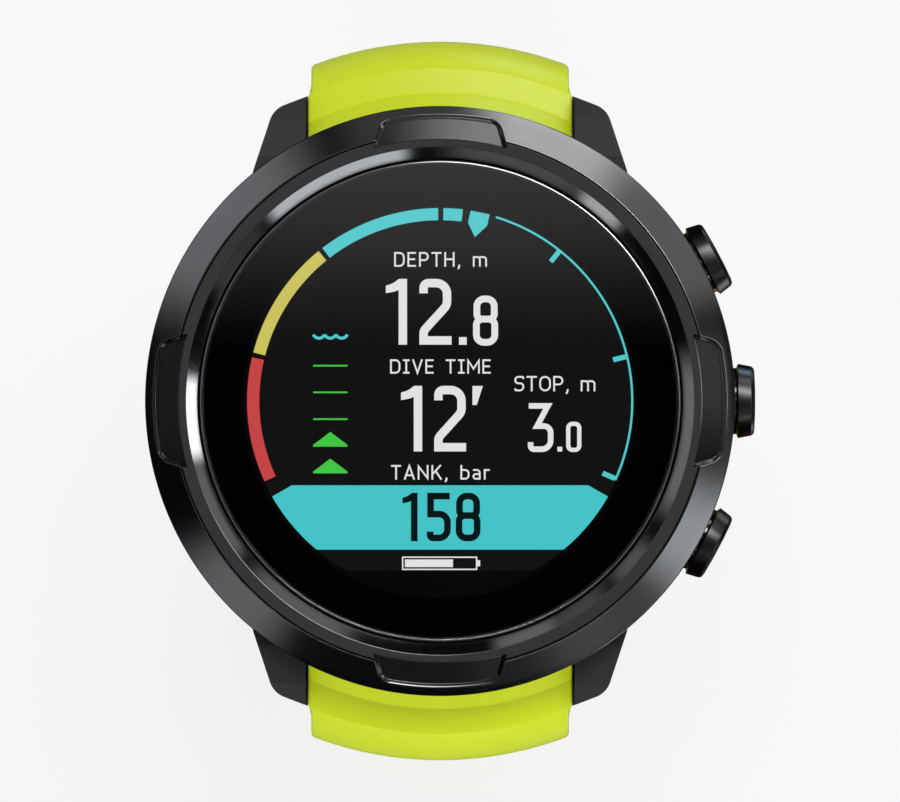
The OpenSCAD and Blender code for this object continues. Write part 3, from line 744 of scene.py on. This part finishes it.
def strap_mesh(rows):
    """Skin over the outline from one side of the strap to the other, with rounded edges."""
    stations = [(-1.0, math.radians(a)) for a in (90, 70, 50, 30, 12)]
    stations += [(-1 + 2 * i / 20, 0.0) for i in range(21)]
    stations += [(1.0, math.radians(a)) for a in (12, 30, 50, 70, 90)]
    face_y = BAND_Y + BAND_T / 2
    loops = []
    for side, bend in stations:
        section, xs = [], []
        for q, z, mode, half, edge in rows:
            x = side * (half - edge) + math.copysign(edge * math.sin(bend), side)
            if mode == 0:
                y = min(q, math.sqrt(riser_radius(z) ** 2 - x * x))
            else:
                y = math.sqrt(max(0.0, q * q - x * x))
                if mode == 2:
                    gap = y - face_y
                    y = face_y + 0.5 * (gap + math.sqrt(gap * gap + 0.01))
            section.append((y, z))
            xs.append(x)
        inset = inset_loop(section, [row[4] * (1 - math.cos(bend)) for row in rows])
        loops.append([(x, p.x, p.y) for x, p in zip(xs, inset)])
    verts, faces = loft(loops, close_ends=False)
    for start in (0, (len(loops) - 1) * len(rows)):
        side_points = [Vector(p[1:]) for p in verts[start:start + len(rows)]]
        outline = [list(range(len(rows)))]
        points, _, fill, origin, _, _ = delaunay_2d_cdt(side_points, [], outline, 1, 1e-6)
        nearest = [o[0] if o else closest(side_points, p) for o, p in zip(origin, points)]
        faces += [tuple(start + nearest[i] for i in face) for face in fill
                  if len({nearest[i] for i in face}) == len(face)]
    return verts, faces


def short_end(along, out):
    """Point in (y, z) near the end of the short half: along the band, and to its outer side."""
    cy, cz, r, turn = CURL_SHORT
    a = math.radians(-turn)
    return (cy + (r + out) * math.cos(a) + along * math.sin(a),
            cz + (r + out) * math.sin(a) - along * math.cos(a))


BUCKLE_BAR_AT, BUCKLE_EYE_R = 1.2, 2.15


def short_half():
    cy, cz, r, turn = CURL_SHORT
    end = -turn + 1.3
    outer = arc(cy, cz, r + BAND_T / 2, 0, end)
    inner = arc(cy, cz, r - BAND_T / 2, end, 0)
    by, bz = short_end(BUCKLE_BAR_AT, 0)
    tip = arc(by, bz, BUCKLE_EYE_R, 360 - turn + 36, 180 - turn - 36, 9)
    rows = strap_outline(cz, inner, tip, outer)
    verts, faces = strap_mesh(rows)
    obj = piece("strap_short_half", verts, faces, [strap_rubber], "strap_short",
                ["strap_short"])
    # notch for the tongue at the buckle bar
    loops = []
    for out, grow in ((-4.0, 0.9), (-2.2, 0.18), (-1.9, 0.0), (1.9, 0.0), (2.2, 0.18), (4.0, 0.9)):
        half, foot = TONGUE_NOTCH[0] + grow, BUCKLE_BAR_AT - TONGUE_NOTCH[1] - grow
        shape = rounded([(-half, foot), (half, foot), (half, 6.0), (-half, 6.0)],
                        [0.7 + grow, 0.7 + grow, 0, 0], True)
        loops.append([(x, *short_end(along, out)) for x, along in shape])
    cut(obj, *loft(loops))
    lever_window(obj, 1)


def lever_window(obj, side):
    """Opening under the head where the quick-release lever sits."""
    start, end, half = LEVER_WINDOW
    loops = []
    for z, grow in ((-1.0, 0.7), (HEAD_LOW, 0.18), (HEAD_LOW + 0.25, 0.0), (BAR_Z, 0.0)):
        x0, x1, y0, y1 = start - grow, end + grow, BAR_Y - half - grow, BAR_Y + half + grow
        shape = rounded([(x0, y0), (x1, y0), (x1, y1), (x0, y1)], 0.5 + grow, True)
        loops.append([(x, side * y, z) for x, y in shape])
    cut(obj, *loft(loops))


def tail_frame(distance):
    """Middle point and outward direction in (y, z), at a distance from the end of the long half."""
    cy, cz, r = CURL_LONG
    upturn = TAIL_R * math.radians(TAIL_ANGLE)
    if distance < upturn:
        a = math.radians(-90 - TAIL_ANGLE) + distance / TAIL_R
        oy, oz, rr = cy - LONG_FLAT, cz - r + TAIL_R, TAIL_R
    elif distance < upturn + LONG_FLAT:
        return (cy - (upturn + LONG_FLAT - distance), cz - r), (0.0, -1.0)
    else:
        a = math.radians(-90) + (distance - upturn - LONG_FLAT) / r
        oy, oz, rr = cy, cz, r
    return (oy + rr * math.cos(a), oz + rr * math.sin(a)), (math.cos(a), math.sin(a))


def long_half():
    cy, cz, r = CURL_LONG
    flat_y, tail_z = cy - LONG_FLAT, cz - r + TAIL_R
    half_t = BAND_T / 2
    steps = [i / 12 for i in range(12)]
    outer = [(BAND_Y + half_t, CROWN_LOW + (cz - CROWN_LOW) * t) for t in steps[1:]]
    outer += arc(cy, cz, r + half_t, 0, -90)
    outer += [(cy - LONG_FLAT * t, cz - r - half_t) for t in steps[1:]]
    inner = [(cy - LONG_FLAT * t, cz - r + half_t) for t in steps[:0:-1]]
    inner += arc(cy, cz, r - half_t, -90, 0)
    inner += [(BAND_Y - half_t, CROWN_LOW + (cz - CROWN_LOW) * t) for t in steps[::-1]]
    tail_out = arc(flat_y, tail_z, TAIL_R + half_t, -90, -90 - TAIL_ANGLE, 0.9)
    tail_in = arc(flat_y, tail_z, TAIL_R - half_t, -90 - TAIL_ANGLE, -90, 0.9)
    rows = strap_outline(CROWN_LOW, inner, tail_out + tail_in, outer)
    (end_y, end_z), (out_y, out_z) = tail_frame(0)
    tip_r = BAND_HALF + 0.3
    for row in rows:
        along = (row[0] - end_y) * -out_z + (row[1] - end_z) * out_y
        if row[1] < -40 and along < BAND_HALF:  # rounded end
            row[3] = min(BAND_HALF, math.sqrt(max(0.0, tip_r ** 2 - (BAND_HALF - along) ** 2)))
            row[4] = 0.3 + (EDGE_R - 0.3) * smooth((along - 2.0) / 4.0)
    verts, faces = strap_mesh(rows)
    verts = [(x, -y, z) for x, y, z in verts]
    obj = piece("strap_long_half", verts, faces, [strap_rubber], "strap_long",
                ["strap_long"])
    for i in range(SLOT_COUNT):
        (my, mz), (ny, nz) = tail_frame(SLOT_FIRST + i * SLOT_PITCH)
        ty, tz = -nz, ny
        loops = []
        for out, grow in ((-3.0, 1.0), (-1.65, 0.25), (-1.5, 0.08), (-1.3, 0.0), (1.3, 0.0),
                          (1.5, 0.08), (1.65, 0.25), (3.0, 1.0)):
            side = arc(1.0, 0, 1.3 + grow, -90, 90, 12) + arc(-1.0, 0, 1.3 + grow, 90, 270, 12)
            loops.append([(x, -(my + ty * s + ny * out), mz + tz * s + nz * out) for x, s in side])
        cut(obj, *loft(loops))
    lever_window(obj, -1)


short_half()
long_half()


# ---- keepers ----

KEEPER_GAP, KEEPER_WALL = 3.7, 1.3


def keeper(name, from_end, span, body):
    cy, cz, r, turn = CURL_SHORT
    low = r - BAND_T / 2 - 0.15
    high = low + BAND_T + 0.15 + KEEPER_GAP
    half = BAND_HALF + 0.2
    mean = (low + high) / 2
    edge = 0.45

    def ring(grow, corner):
        pts = [(low - grow, -half - grow), (high + grow, -half - grow),
               (high + grow, half + grow), (low - grow, half + grow)]
        return rounded(pts, corner, True, 12)

    start, end = math.radians(from_end - turn), math.radians(from_end + span - turn)
    bends = [math.radians(a) for a in (0, 22, 45, 68, 90)]
    rim = [(edge * (1 - math.cos(b)) / mean, edge * (1 - math.sin(b))) for b in bends]
    inner_span = end - start - 2 * edge / mean
    stations = [(start + shift, inset) for shift, inset in rim]
    stations += [(start + edge / mean + inner_span * k / 5, 0.0) for k in range(1, 5)]
    stations += [(end - shift, inset) for shift, inset in reversed(rim)]

    loops = []
    for angle, inset in stations:
        for pts in (ring(KEEPER_WALL - inset, 1.5), ring(inset, 0.5)):
            loops.append([(x, cy + rho * math.cos(angle), cz + rho * math.sin(angle))
                          for rho, x in pts])
    verts = [p for loop in loops for p in loop]
    count = len(loops[0])
    # loops with an even number are on the outside; the wall is closed at both ends
    last = len(loops) - 2
    pairs = [(1, 0), (last, last + 1)]
    for j in range(0, last, 2):
        pairs += [(j, j + 2), (j + 3, j + 1)]
    faces = [face for a, b in pairs for face in strip(a * count, b * count, count)]
    piece(name + "_loop", verts, faces, [strap_rubber], body, [name])


keeper("keeper_fixed", 17, 13, "strap_short")
keeper("keeper_free", 62, 13, "keeper_free")


# ---- display graphics ----

GRAPHICS_Z = SCREEN_Z + 0.06

LIT = {name: glowing("display_" + name, rgb(*colour), gain) for name, colour, gain in (
    ("cyan", (82, 203, 206), 1.08), ("teal", (70, 198, 202), 1.08), ("amber", (205, 197, 95), 1.08),
    ("coral", (201, 70, 70), 1.08), ("green", (68, 200, 68), 1.08), ("white", (228, 228, 228), 1.10),
    ("black", (17, 17, 17), 1.0), ("ink", (6, 22, 23), 1.0))}


def digit(flat, char, left, base, height, width, weight):
    """A condensed figure with squarish corners; everything is in hundredths of its height."""
    k = height / 100
    w = width / k
    e = weight / k / 2

    def put(points):
        return [(left + x * k, base + y * k) for x, y in points]

    def line(points, radii, closed=False):
        flat.line(put(rounded(points, radii, closed)), weight, closed)

    if char == "1":
        s = 2 * e
        flat.fill(put([(0, 78.3), (0, 89.7), (w * 0.24, 92), (w * 0.43, 95.3), (w * 0.62, 100), (w, 100),
                       (w, 0), (w - s, 0), (w - s, 83), (w * 0.37, 80.4)]))
    elif char == "2":
        line([(e, 78), (e, 100 - e), (w - e - 0.5, 100 - e), (w - e - 0.5, 60), (e, 21), (e, e), (w, e)],
             [0, 16, 17, 16, 12, 0, 0])
    elif char == "3":
        line([(2, 100 - e), (w - 2 * e, 100 - e), (w * 0.36, 53), (w - e, 53), (w - e, e), (e, e),
              (e, 20)], [0, 0, 0, 15, 18, 15, 0])
    elif char == "5":
        line([(w - 2, 100 - e), (e + 1, 100 - e), (e + 1, 56), (w - e, 56), (w - e, e), (e, e), (e, 20)],
             [0, 0, 0, 17, 18, 16, 0])
    elif char == "8":
        line([(e, e), (w - e, e), (w - e, 53), (e, 53)], [15, 15, 12, 12], True)
        line([(e + 1, 53), (w - e - 1, 53), (w - e - 1, 100 - e), (e + 1, 100 - e)],
             [10, 10, 15, 15], True)
    elif char == "0":
        line([(e, e), (w - e, e), (w - e, 100 - e), (e, 100 - e)], 14, True)


# Letters on a cap height of 100: (width, strokes), each stroke being the arguments of stroke()
LETTERS = {
    "D": (72, [([(6, 94), (66, 94), (66, 6), (6, 6)], [0, 32, 32, 0], True)]),
    "E": (60, [([(58, 94), (6, 94), (6, 6), (58, 6)],), ([(12, 51), (52, 51)],)]),
    "P": (66, [([(6, 0), (6, 94), (60, 94), (60, 45), (12, 45)], [0, 0, 24, 24, 0])]),
    "T": (68, [([(0, 94), (68, 94)],), ([(34, 88), (34, 0)],)]),
    "H": (70, [([(6, 0), (6, 100)],), ([(64, 0), (64, 100)],), ([(12, 51), (58, 51)],)]),
    ",": (22, [([(13, 14), (13, 2), (5, -16)],)]),
    "m": (96, [([(6, 0), (6, 72)],), ([(6, 66), (48, 66), (48, 0)], [0, 18, 0]),
               ([(48, 66), (90, 66), (90, 0)], [0, 18, 0])]),
    "I": (46, [([(0, 94), (46, 94)],), ([(0, 6), (46, 6)],), ([(23, 88), (23, 12)],)]),
    "V": (74, [([(5, 100), (37, 6), (69, 100)],)]),
    "M": (88, [([(6, 0), (6, 92), (44, 34), (82, 92), (82, 0)],)]),
    "S": (64, [([(58, 80), (58, 94), (6, 94), (6, 52), (58, 52), (58, 6), (6, 6), (6, 20)],
                [0, 22, 22, 20, 20, 22, 22, 0])]),
    "O": (76, [([(6, 94), (70, 94), (70, 6), (6, 6)], 32, True)]),
    "A": (74, [([(4, 0), (37, 94), (70, 0)],), ([(17, 30), (57, 30)],)]),
    "N": (74, [([(6, 0), (6, 90), (68, 10), (68, 100)],)]),
    "K": (70, [([(6, 0), (6, 100)],), ([(64, 100), (12, 42)],), ([(29, 58), (68, 0)],)]),
    "b": (62, [([(6, 100), (6, 6), (56, 6), (56, 66), (6, 66)], [0, 0, 24, 24, 0])]),
    "a": (58, [([(8, 62), (8, 66), (50, 66), (50, 0)], [0, 8, 20, 0]),
               ([(50, 38), (7, 38), (7, 6), (50, 6)], [0, 16, 16, 0])]),
    "r": (42, [([(6, 0), (6, 72)],), ([(6, 42), (8, 66), (40, 66)], [0, 22, 0])]),
    " ": (46, []),
}


def stroke(points, radii=0, closed=False):
    return (rounded(points, radii, closed, 14) if radii else points), closed


def label(flat, text, left, right, base, cap, weight=0.155):
    """A line of text that fills the width from left to right."""
    k = cap / 100
    widths = [LETTERS[c][0] for c in text]
    gap = ((right - left) / k - sum(widths)) / (len(text) - 1)
    x = 0.0
    for c, w in zip(text, widths):
        for arguments in LETTERS[c][1]:
            points, closed = stroke(*arguments)
            flat.line([(left + (x + px) * k, base + py * k) for px, py in points], weight, closed)
        x += w + gap


def dial():
    """The screen: words and figures, depth ring, tank panel and ascent-rate marks."""
    # the lit area of the screen, cut off level at the bottom
    cut_angle = math.degrees(math.asin(SCREEN_LOW / SCREEN_R))
    back = Flat(SCREEN_Z + 0.015, 0.03)
    back.fill(arc(0, 0, SCREEN_R, cut_angle, 180 - cut_angle, 1.5))
    back.make("display_field", LIT["black"])

    words = Flat(GRAPHICS_Z, 0.10)
    for row in (("DEPTH, m", -4.13, 4.21, 12.06, 1.32), ("DIVE TIME", -4.49, 4.57, 2.46, 1.28),
                ("STOP, m", 6.67, 13.95, 0.87, 1.38), ("TANK, bar", -4.40, 4.48, -7.06, 1.31)):
        label(words, *row)
    big = 0.755  # stroke of the large figures
    for row in (("1", -4.87, 5.06, 5.91, 1.90, big), ("2", -1.86, 5.06, 5.91, 2.89, big),
                ("8", 2.96, 4.97, 4.50, 2.25, 0.60), ("1", -3.51, -4.53, 5.89, 1.90, big),
                ("2", -0.53, -4.53, 5.89, 2.86, big), ("3", 7.88, -4.58, 4.39, 2.30, 0.50),
                ("0", 11.32, -4.58, 2.72, 1.37, 0.38)):
        digit(words, *row)
    words.box(1.70, 5.05, 2.39, 5.74)
    words.fill([(2.91, 1.35), (3.84, 1.35), (3.29, -0.36), (2.91, -0.36)])
    words.box(10.54, -4.53, 10.97, -4.11)
    # cell gauge
    words.line([(-3.36, -15.12), (3.28, -15.12), (3.28, -14.03), (-3.36, -14.03)], 0.12, True)
    words.box(3.34, -14.84, 3.60, -14.31)
    words.box(-3.16, -14.92, 1.16, -14.23)
    words.make("display_words", LIT["white"])

    ring_in, ring_out = 16.24, 17.33
    outline = Flat(GRAPHICS_Z - 0.02, 0.06)
    sheets = {name: Flat(GRAPHICS_Z, 0.10) for name in ("cyan", "amber", "coral")}
    for colour, start, end in (("cyan", 90.6, 127.6), ("amber", 129.0, 165.4), ("coral", 166.9, 204.6),
                               ("cyan", 83.2, 89.0)):
        sheets[colour].sector(ring_in, ring_out, start, end)
        outline.sector(ring_in - 0.09, ring_out + 0.09, start - 0.3, end + 0.3)
    pointer = [(2.76, 17.11), (4.44, 16.76), (4.24, 15.75), (3.13, 14.72), (2.50, 16.03)]
    sheets["cyan"].fill(pointer)
    sheets["cyan"].line(arc(0, 0, 17.26, 73.1, -24.3, 1.0), 0.19)
    for a in (51.5, 13.4, -23.9):
        c, s = math.cos(math.radians(a)), math.sin(math.radians(a))
        sheets["cyan"].line([(15.98 * c, 15.98 * s), (17.16 * c, 17.16 * s)], 0.45)
    # water line
    for i in range(3):
        sheets["cyan"].line(arc(-10.88 + i * 1.02, 6.20, 0.56, 205, 335, 12), 0.26)
    for name, sheet in sheets.items():
        sheet.make("display_" + name, LIT[name])
    outline.make("display_outline", glowing("display_maroon", rgb(34, 10, 10), 1.0))

    tank = Flat(GRAPHICS_Z - 0.02, 0.06)
    low_y, r = -13.35, SCREEN_R
    side = math.degrees(math.asin(-8.58 / r))
    down = math.degrees(math.asin(low_y / r))
    tank.fill([(-13.3, -7.57), (13.3, -7.57)] + arc(0, 0, r, side, down, 1.5)
              + [(-p[0], p[1]) for p in arc(0, 0, r, down, side, 1.5)])
    tank.make("display_tank", LIT["teal"])
    count = Flat(GRAPHICS_Z + 0.05, 0.06)
    for char, left, width in (("1", -3.38, 1.36), ("5", -1.20, 2.16), ("8", 1.40, 2.23)):
        digit(count, char, left, -12.60, 4.36, width, 0.60)
    count.make("display_count", LIT["ink"])

    rate = Flat(GRAPHICS_Z, 0.10)
    left, right = -11.40, -8.32
    for y in (3.17, 0.78, -1.63):
        rate.line([(left, y), (right, y)], 0.15)
    for apex, foot in ((-2.78, -4.10), (-5.17, -6.50)):
        rate.fill([(left, foot), (right, foot), (right, foot + 0.16), ((left + right) / 2, apex),
                   (left, foot + 0.16)])
    rate.make("display_rate", LIT["green"])


dial()


# ---- floor, light and camera ----

def studio_floor():
    n = Nodes("floor")
    cloud = n.noise(60.0, 2.0)
    n.set(Base_Color=n.mix(cloud, (0.115, 0.115, 0.115, 1), (0.120, 0.120, 0.120, 1)), Roughness=0.9,
          Specular_IOR_Level=0.0, Emission_Color=(1, 1, 1, 1), Emission_Strength=0.815)
    rim = arc(0, 0, 9000.0, 0, 360, 3.75)[:-1]
    mesh = mesh_mm("floor", [(0, 0, FLOOR_Z)] + [(x, y, FLOOR_Z) for x, y in rim],
                   [(0, i + 1, (i + 1) % len(rim) + 1) for i in range(len(rim))])
    mesh.materials.append(n.material)
    obj = add_object("floor", mesh)
    obj.visible_glossy = False


# Soft boxes as (azimuth, elevation, half width, half height, edge softness, strength, colour),
# angles in degrees; azimuth 0 is at 3 o'clock and turns anticlockwise.
WARM, COOL, PLAIN = (1.0, 0.967, 0.945), (0.95, 0.98, 1.0), (1.0, 1.0, 1.0)
BLUE, ORANGE = (0.55, 0.80, 1.0), (1.0, 0.55, 0.35)
SOFT_BOXES = [
    (67, 17, 8, 6, 12, 1.40, WARM),
    (96, 17, 8, 6, 10, 0.11, PLAIN),
    (37, 17, 12, 6, 9, 0.30, PLAIN),
    (332, 17, 2, 6, 14, 0.98, COOL),
    (346, 17, 4, 6, 10, 0.09, COOL),
    (140, 17, 10, 6, 18, 0.42, COOL),
    (223, 17, 5, 6, 12, 0.36, COOL),
    (310, 17, 10, 6, 13, 0.13, PLAIN),
    (4, 30.5, 7, 3, 4, 2.7, PLAIN),
    (26, 32, 8, 3, 6, 0.26, PLAIN),
    (56, 31, 8, 3, 9, 0.24, COOL),
    (110, 31, 5, 3, 4, 0.26, PLAIN),
    (124, 31, 3, 3, 7, 0.12, PLAIN),
    (140, 31, 2, 3, 6, 0.18, PLAIN),
    (172, 31, 12, 3, 10, 0.30, PLAIN),
    (230, 31, 3, 3, 4, 0.85, PLAIN),
    (252, 31, 9, 3, 12, 0.15, PLAIN),
    (295, 31, 15, 3, 4, 1.10, COOL),
    (325, 31, 6, 3, 5, 0.07, PLAIN),
    (59, 51, 23, 6, 20, 5.2, PLAIN),
    (225, 51, 110, 4, 20, 0.22, PLAIN),
    (76, -18, 5, 9, 5, 2.4, BLUE),
    (48, -20, 6, 12, 6, 1.0, COOL),
    (312, -28, 6, 12, 6, 1.6, WARM),
    (298, -48, 6, 4, 5, 1.2, ORANGE),
]

SOFT_FILL = 0.305
BACKDROP = (0.93, 0.93, 0.93, 1)


def studio_world():
    """Soft boxes round a dark room, as the polished surfaces see it."""
    world = bpy.data.worlds.new("studio")
    world.use_nodes = True
    scene.world = world
    tree = world.node_tree
    tree.nodes.clear()

    def add(kind, *values, **settings):
        node = tree.nodes.new("ShaderNode" + kind)
        for key, value in settings.items():
            setattr(node, key, value)
        for socket, value in zip(node.inputs, values):
            if isinstance(value, bpy.types.NodeSocket):
                tree.links.new(value, socket)
            elif value is not None:
                socket.default_value = value
        return node.outputs

    def calculate(operation, *values):
        return add("Math", *values, operation=operation)[0]

    def smooth_range(value, start, end, low=0.0, high=1.0):
        return add("MapRange", value, math.radians(start), math.radians(end), low, high,
                   interpolation_type="SMOOTHSTEP")[0]

    x, y, z = add("SeparateXYZ", add("TexCoord")["Generated"])
    azimuth = calculate("ARCTAN2", y, x)
    elevation = calculate("ARCSINE", z)
    total = None
    for az, el, half_w, half_h, soft, strength, colour in SOFT_BOXES:
        turned = calculate("WRAP", calculate("SUBTRACT", azimuth, math.radians(az)), math.pi, -math.pi)
        raised = calculate("SUBTRACT", elevation, math.radians(el))
        wide = smooth_range(calculate("ABSOLUTE", turned), half_w + soft, half_w)
        tall = smooth_range(calculate("ABSOLUTE", raised), half_h + min(soft, 3), half_h)
        tint = add("VectorMath", [c * strength for c in colour], None, None,
                   calculate("MULTIPLY", wide, tall), operation="SCALE")[0]
        total = tint if total is None else add("VectorMath", total, tint, operation="ADD")[0]
    # a faint glow overhead, and one from low on both sides
    above = smooth_range(elevation, 35, 70, 0.004, 0.045)
    below = smooth_range(elevation, -6, -45, 0.0, 0.22)
    glow = calculate("ADD", above, calculate("MULTIPLY", below, calculate("MULTIPLY", x, x)))
    total = add("VectorMath", total, glow, operation="ADD")[0]

    # the soft boxes show in reflections only; rough surfaces get an even fill
    path = add("LightPath")
    lit = add("MixShader", path["Is Diffuse Ray"], add("Background", total)[0],
              add("Background", (1, 1, 1, 1), SOFT_FILL)[0])[0]
    shown = add("MixShader", path["Is Camera Ray"], lit, add("Background", BACKDROP)[0])[0]
    add("OutputWorld", shown)


def glass_glow():
    """Small soft panel above the dial, brighter towards 12 o'clock, that only reflections see."""
    n = Nodes("glow_panel")
    split = n.add("ShaderNodeSeparateXYZ", Vector=n.coords)
    rise = n.add("ShaderNodeMapRange", Value=split.outputs["Y"], From_Min=4.2 * MM, From_Max=26.2 * MM,
                 To_Min=0.0, To_Max=0.94)
    rise.interpolation_type = "SMOOTHSTEP"
    n.set(Base_Color=(0, 0, 0, 1), Specular_IOR_Level=0.0, Emission_Color=(1, 1, 1, 1),
          Emission_Strength=rise.outputs["Result"])
    half, height = 40, 250
    corners = [(-half, -half, 0), (half, -half, 0), (half, half, 0), (-half, half, 0)]
    mesh = mesh_mm("glow_panel", corners, [(0, 1, 2, 3)])
    mesh.materials.append(n.material)
    obj = add_object("glow_panel", mesh)
    obj.location = (0, 0, height * MM)
    obj.visible_camera = obj.visible_diffuse = obj.visible_shadow = False
    obj.visible_transmission = False


def area_light(name, azimuth, elevation, distance, size, power):
    data = bpy.data.lights.new(name, "AREA")
    data.shape = "SQUARE"
    data.size = size
    data.energy = power
    obj = add_object(name, data)
    a, e = math.radians(azimuth), math.radians(elevation)
    place = Vector((math.cos(a) * math.cos(e), math.sin(a) * math.cos(e), math.sin(e))) * distance
    obj.location = place  # it faces the middle of the caseback
    obj.rotation_euler = (-place).to_track_quat("-Z", "Y").to_euler()
    obj.visible_camera = obj.visible_glossy = False


def camera():
    reach = 3.2  # metres: nearly parallel view, straight down on the dial
    width, aside = 80.78 * MM, 0.89 * MM
    data = bpy.data.cameras.new("camera")
    data.sensor_width = 36
    data.lens = 36 * reach / width
    data.clip_start = 0.1
    data.clip_end = 20
    obj = add_object("camera", data)
    obj.location = (aside, 0, TOP * MM + reach)
    scene.camera = obj


scene.view_settings.view_transform = "Standard"
studio_floor()
studio_world()
glass_glow()
area_light("key", 82, 73, 0.9, 0.30, 3.95)
area_light("fill", 268, 14, 1.0, 0.5, 6.3)
camera()


# ---- CAD nodes that stay ----

def soften(node, width, angle=30):
    """Rounded edges on a CAD node that stays, as modifiers; its mesh isn't changed."""
    obj = nodes[node]
    weld = obj.modifiers.new("weld", "WELD")
    weld.merge_threshold = 0.002 * MM
    bevel = obj.modifiers.new("bevel", "BEVEL")
    bevel.width = width * MM
    bevel.segments = 3
    bevel.limit_method = "ANGLE"
    bevel.angle_limit = math.radians(angle)
    bevel.harden_normals = True


soften("case_body", 0.22, 28)
soften("buckle_frame", 0.45)
soften("buckle_tongue", 0.25)
soften("caseback", 0.12)

for obj in nodes.values():
    if obj.hide_render:
        continue
    for slot in obj.material_slots:
        slot.material = BY_SLOT[slot.material.name.split(".")[0]]
